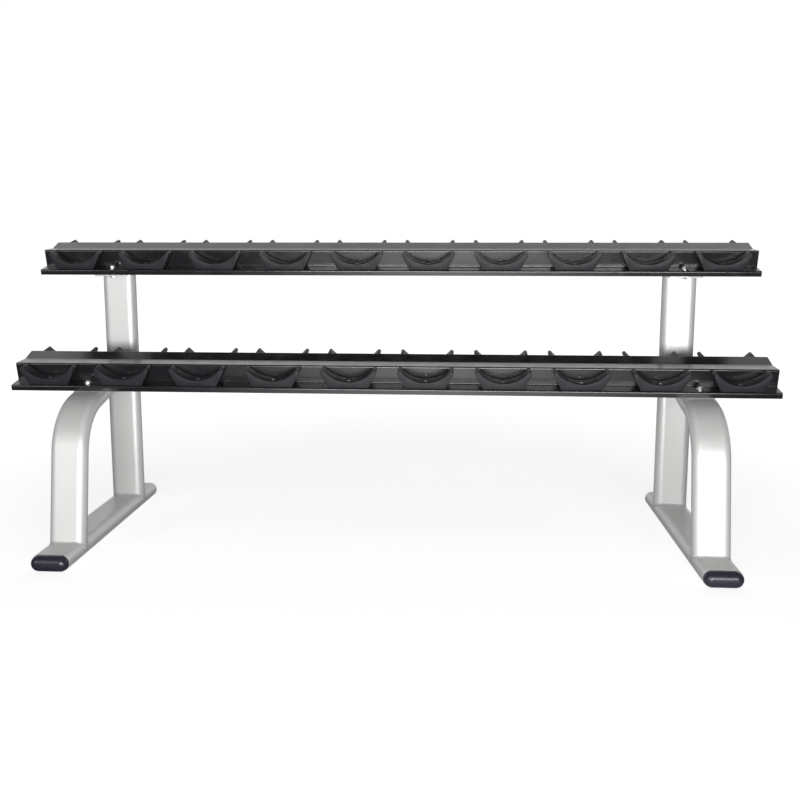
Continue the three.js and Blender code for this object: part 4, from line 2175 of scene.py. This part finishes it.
@dataclass(frozen=True)
class Floor:
    """A pale floor that stays nearly white and takes soft shadows.

    Attributes:
        size: Length of its sides.
        color: Its colour.
        glow: Its own light as the camera sees it, which keeps the shadows soft and pale.
        far_glow: The same, away from the rack.
        near: Distance from the middle where the glow starts to rise.
        far: Distance where it has reached its full strength.
        bounce: Its own light as it falls on the rack.
        mirrored: Its own light in reflections, where they are brightest.
        mirrored_dim: The same where they are dimmest.
        bright_x: Where the reflections are brightest.
        bright_reach: How far from there they fade out.
        beside: Share of that left beside and behind the rack's front.
        ahead: Range of the distance in front of the middle where the share rises to 1.
        mirrored_tint: Share of its colour that reflections see.
        grain: Where its colour wanders.
        grain_share: Share of the colour that it wanders to.
    """

    size: float = 40.0
    color: tuple[float, float, float] = (0.60, 0.60, 0.605)
    glow: float = 0.79
    far_glow: float = 1.0
    near: float = 1.2
    far: float = 3.0
    bounce: float = 0.14
    mirrored: float = 2.1
    mirrored_dim: float = 0.02
    bright_x: float = 0.15
    bright_reach: float = 1.1
    beside: float = 0.25
    ahead: Span = (0.25, 0.6)
    mirrored_tint: float = 0.15
    grain: Grain = Grain(2.0, detail=3.0)
    grain_share: float = 0.985

    def build(self) -> bpy.types.Object:
        """Builds the floor.

        Returns:
            The floor.
        """
        half = self.size / 2
        mesh = bpy.data.meshes.new("studio_floor")
        corners = [(-half, -half, 0), (half, -half, 0), (half, half, 0), (-half, half, 0)]
        mesh.from_pydata(corners, [], [(0, 1, 2, 3)])
        floor = new_object("studio_floor", mesh)
        material, graph = new_material("pale_studio_floor")
        place = graph.split(graph.coordinates())
        away = graph.math("ABSOLUTE", graph.math("SUBTRACT", place["X"], self.bright_x), 0.0)
        shine = graph.ramp(away, 0.0, self.bright_reach, self.mirrored, self.mirrored_dim)
        front = graph.ramp(graph.math("MULTIPLY", place["Y"], -1.0), *self.ahead, self.beside, 1.0)
        shine = graph.math("MULTIPLY", shine, front)
        reach = graph.add("ShaderNodeVectorMath", operation="LENGTH")
        graph.link(graph.coordinates(), reach.inputs[0])
        glow = graph.ramp(reach.outputs["Value"], self.near, self.far, self.glow, self.far_glow)
        path = graph.add("ShaderNodeLightPath").outputs
        unseen = graph.choose(path["Is Glossy Ray"], self.bounce, shine)
        strength = graph.choose(path["Is Camera Ray"], unseen, glow)
        shown = graph.choose(path["Is Glossy Ray"], 1.0, self.mirrored_tint)
        pale = tuple(part * self.grain_share for part in self.color)
        color = graph.mix(self.grain.show(graph), pale, self.color)
        tint = graph.mix(shown, (0.0, 0.0, 0.0), color)
        matte = graph.add("ShaderNodeBsdfDiffuse")
        graph.link(tint, matte.inputs["Color"])
        light = graph.add("ShaderNodeEmission")
        graph.link(strength, light.inputs["Strength"])
        both = graph.add("ShaderNodeAddShader")
        graph.link(matte.outputs[0], both.inputs[0])
        graph.link(light.outputs[0], both.inputs[1])
        graph.link(both.outputs[0], graph.add("ShaderNodeOutputMaterial").inputs["Surface"])
        mesh.materials.append(material)
        return floor


@dataclass
class Studio:
    """The pale floor, the soft light and the camera.

    Attributes:
        floor: The floor.
        surroundings: What the rack reflects.
        lights: The soft boxes.
        eye: Where the camera stands.
        pitch: How far it looks down, in radians.
        turn: How far it looks to the left, in radians.
        lens: Focal length in millimetres, on a sensor 36 mm wide.
        shift_y: Vertical lens shift.
    """

    floor: Floor = field(default_factory=Floor)
    surroundings: Surroundings = field(default_factory=Surroundings)
    lights: tuple[SoftBox, ...] = (
        SoftBox("key", (0.50, -3.9, 0.52), (0.0, 0.0, 0.40), (3.3, 0.95), 160.0),
        SoftBox("fill", (-2.8, -3.0, 1.0), (-0.6, 0.0, 0.5), (0.9, 1.6), 16.0),
        SoftBox("top", (0.0, -0.6, 3.6), (0.0, 0.0, 0.0), (3.4, 1.4), 6.0),
    )
    eye: tuple[float, float, float] = (0.206, -2.700, 0.950)
    pitch: float = math.radians(7.95)
    turn: float = math.radians(3.60)
    lens: float = 39.6
    shift_y: float = -0.0525

    def camera(self) -> bpy.types.Object:
        """Places the camera and makes it the scene's.

        Returns:
            The camera.
        """
        data = bpy.data.cameras.new("studio_camera")
        data.sensor_width = 36.0
        data.lens = self.lens
        data.shift_y = self.shift_y
        camera = bpy.data.objects.new("studio_camera", data)
        camera.location = self.eye
        camera.rotation_euler = (math.pi / 2 - self.pitch, 0.0, self.turn)
        bpy.context.scene.collection.objects.link(camera)
        bpy.context.scene.camera = camera
        return camera

    def build(self) -> None:
        """Builds the whole studio."""
        self.surroundings.build()
        self.floor.build()
        self.camera()
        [light.build() for light in self.lights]
        bpy.context.scene.view_settings.view_transform = "Standard"


def main() -> None:
    """Builds the rack and its studio."""
    logging.basicConfig(level=logging.INFO, format="%(name)s: %(message)s")
    layout = Layout()
    finishes = Finishes()
    for side in Side:
        SideFrame(side, layout, finishes).build()
    for tier in Tier:
        TierAssembly(tier, layout, finishes).build()
    Studio().build()


if __name__ == "__main__":
    main()
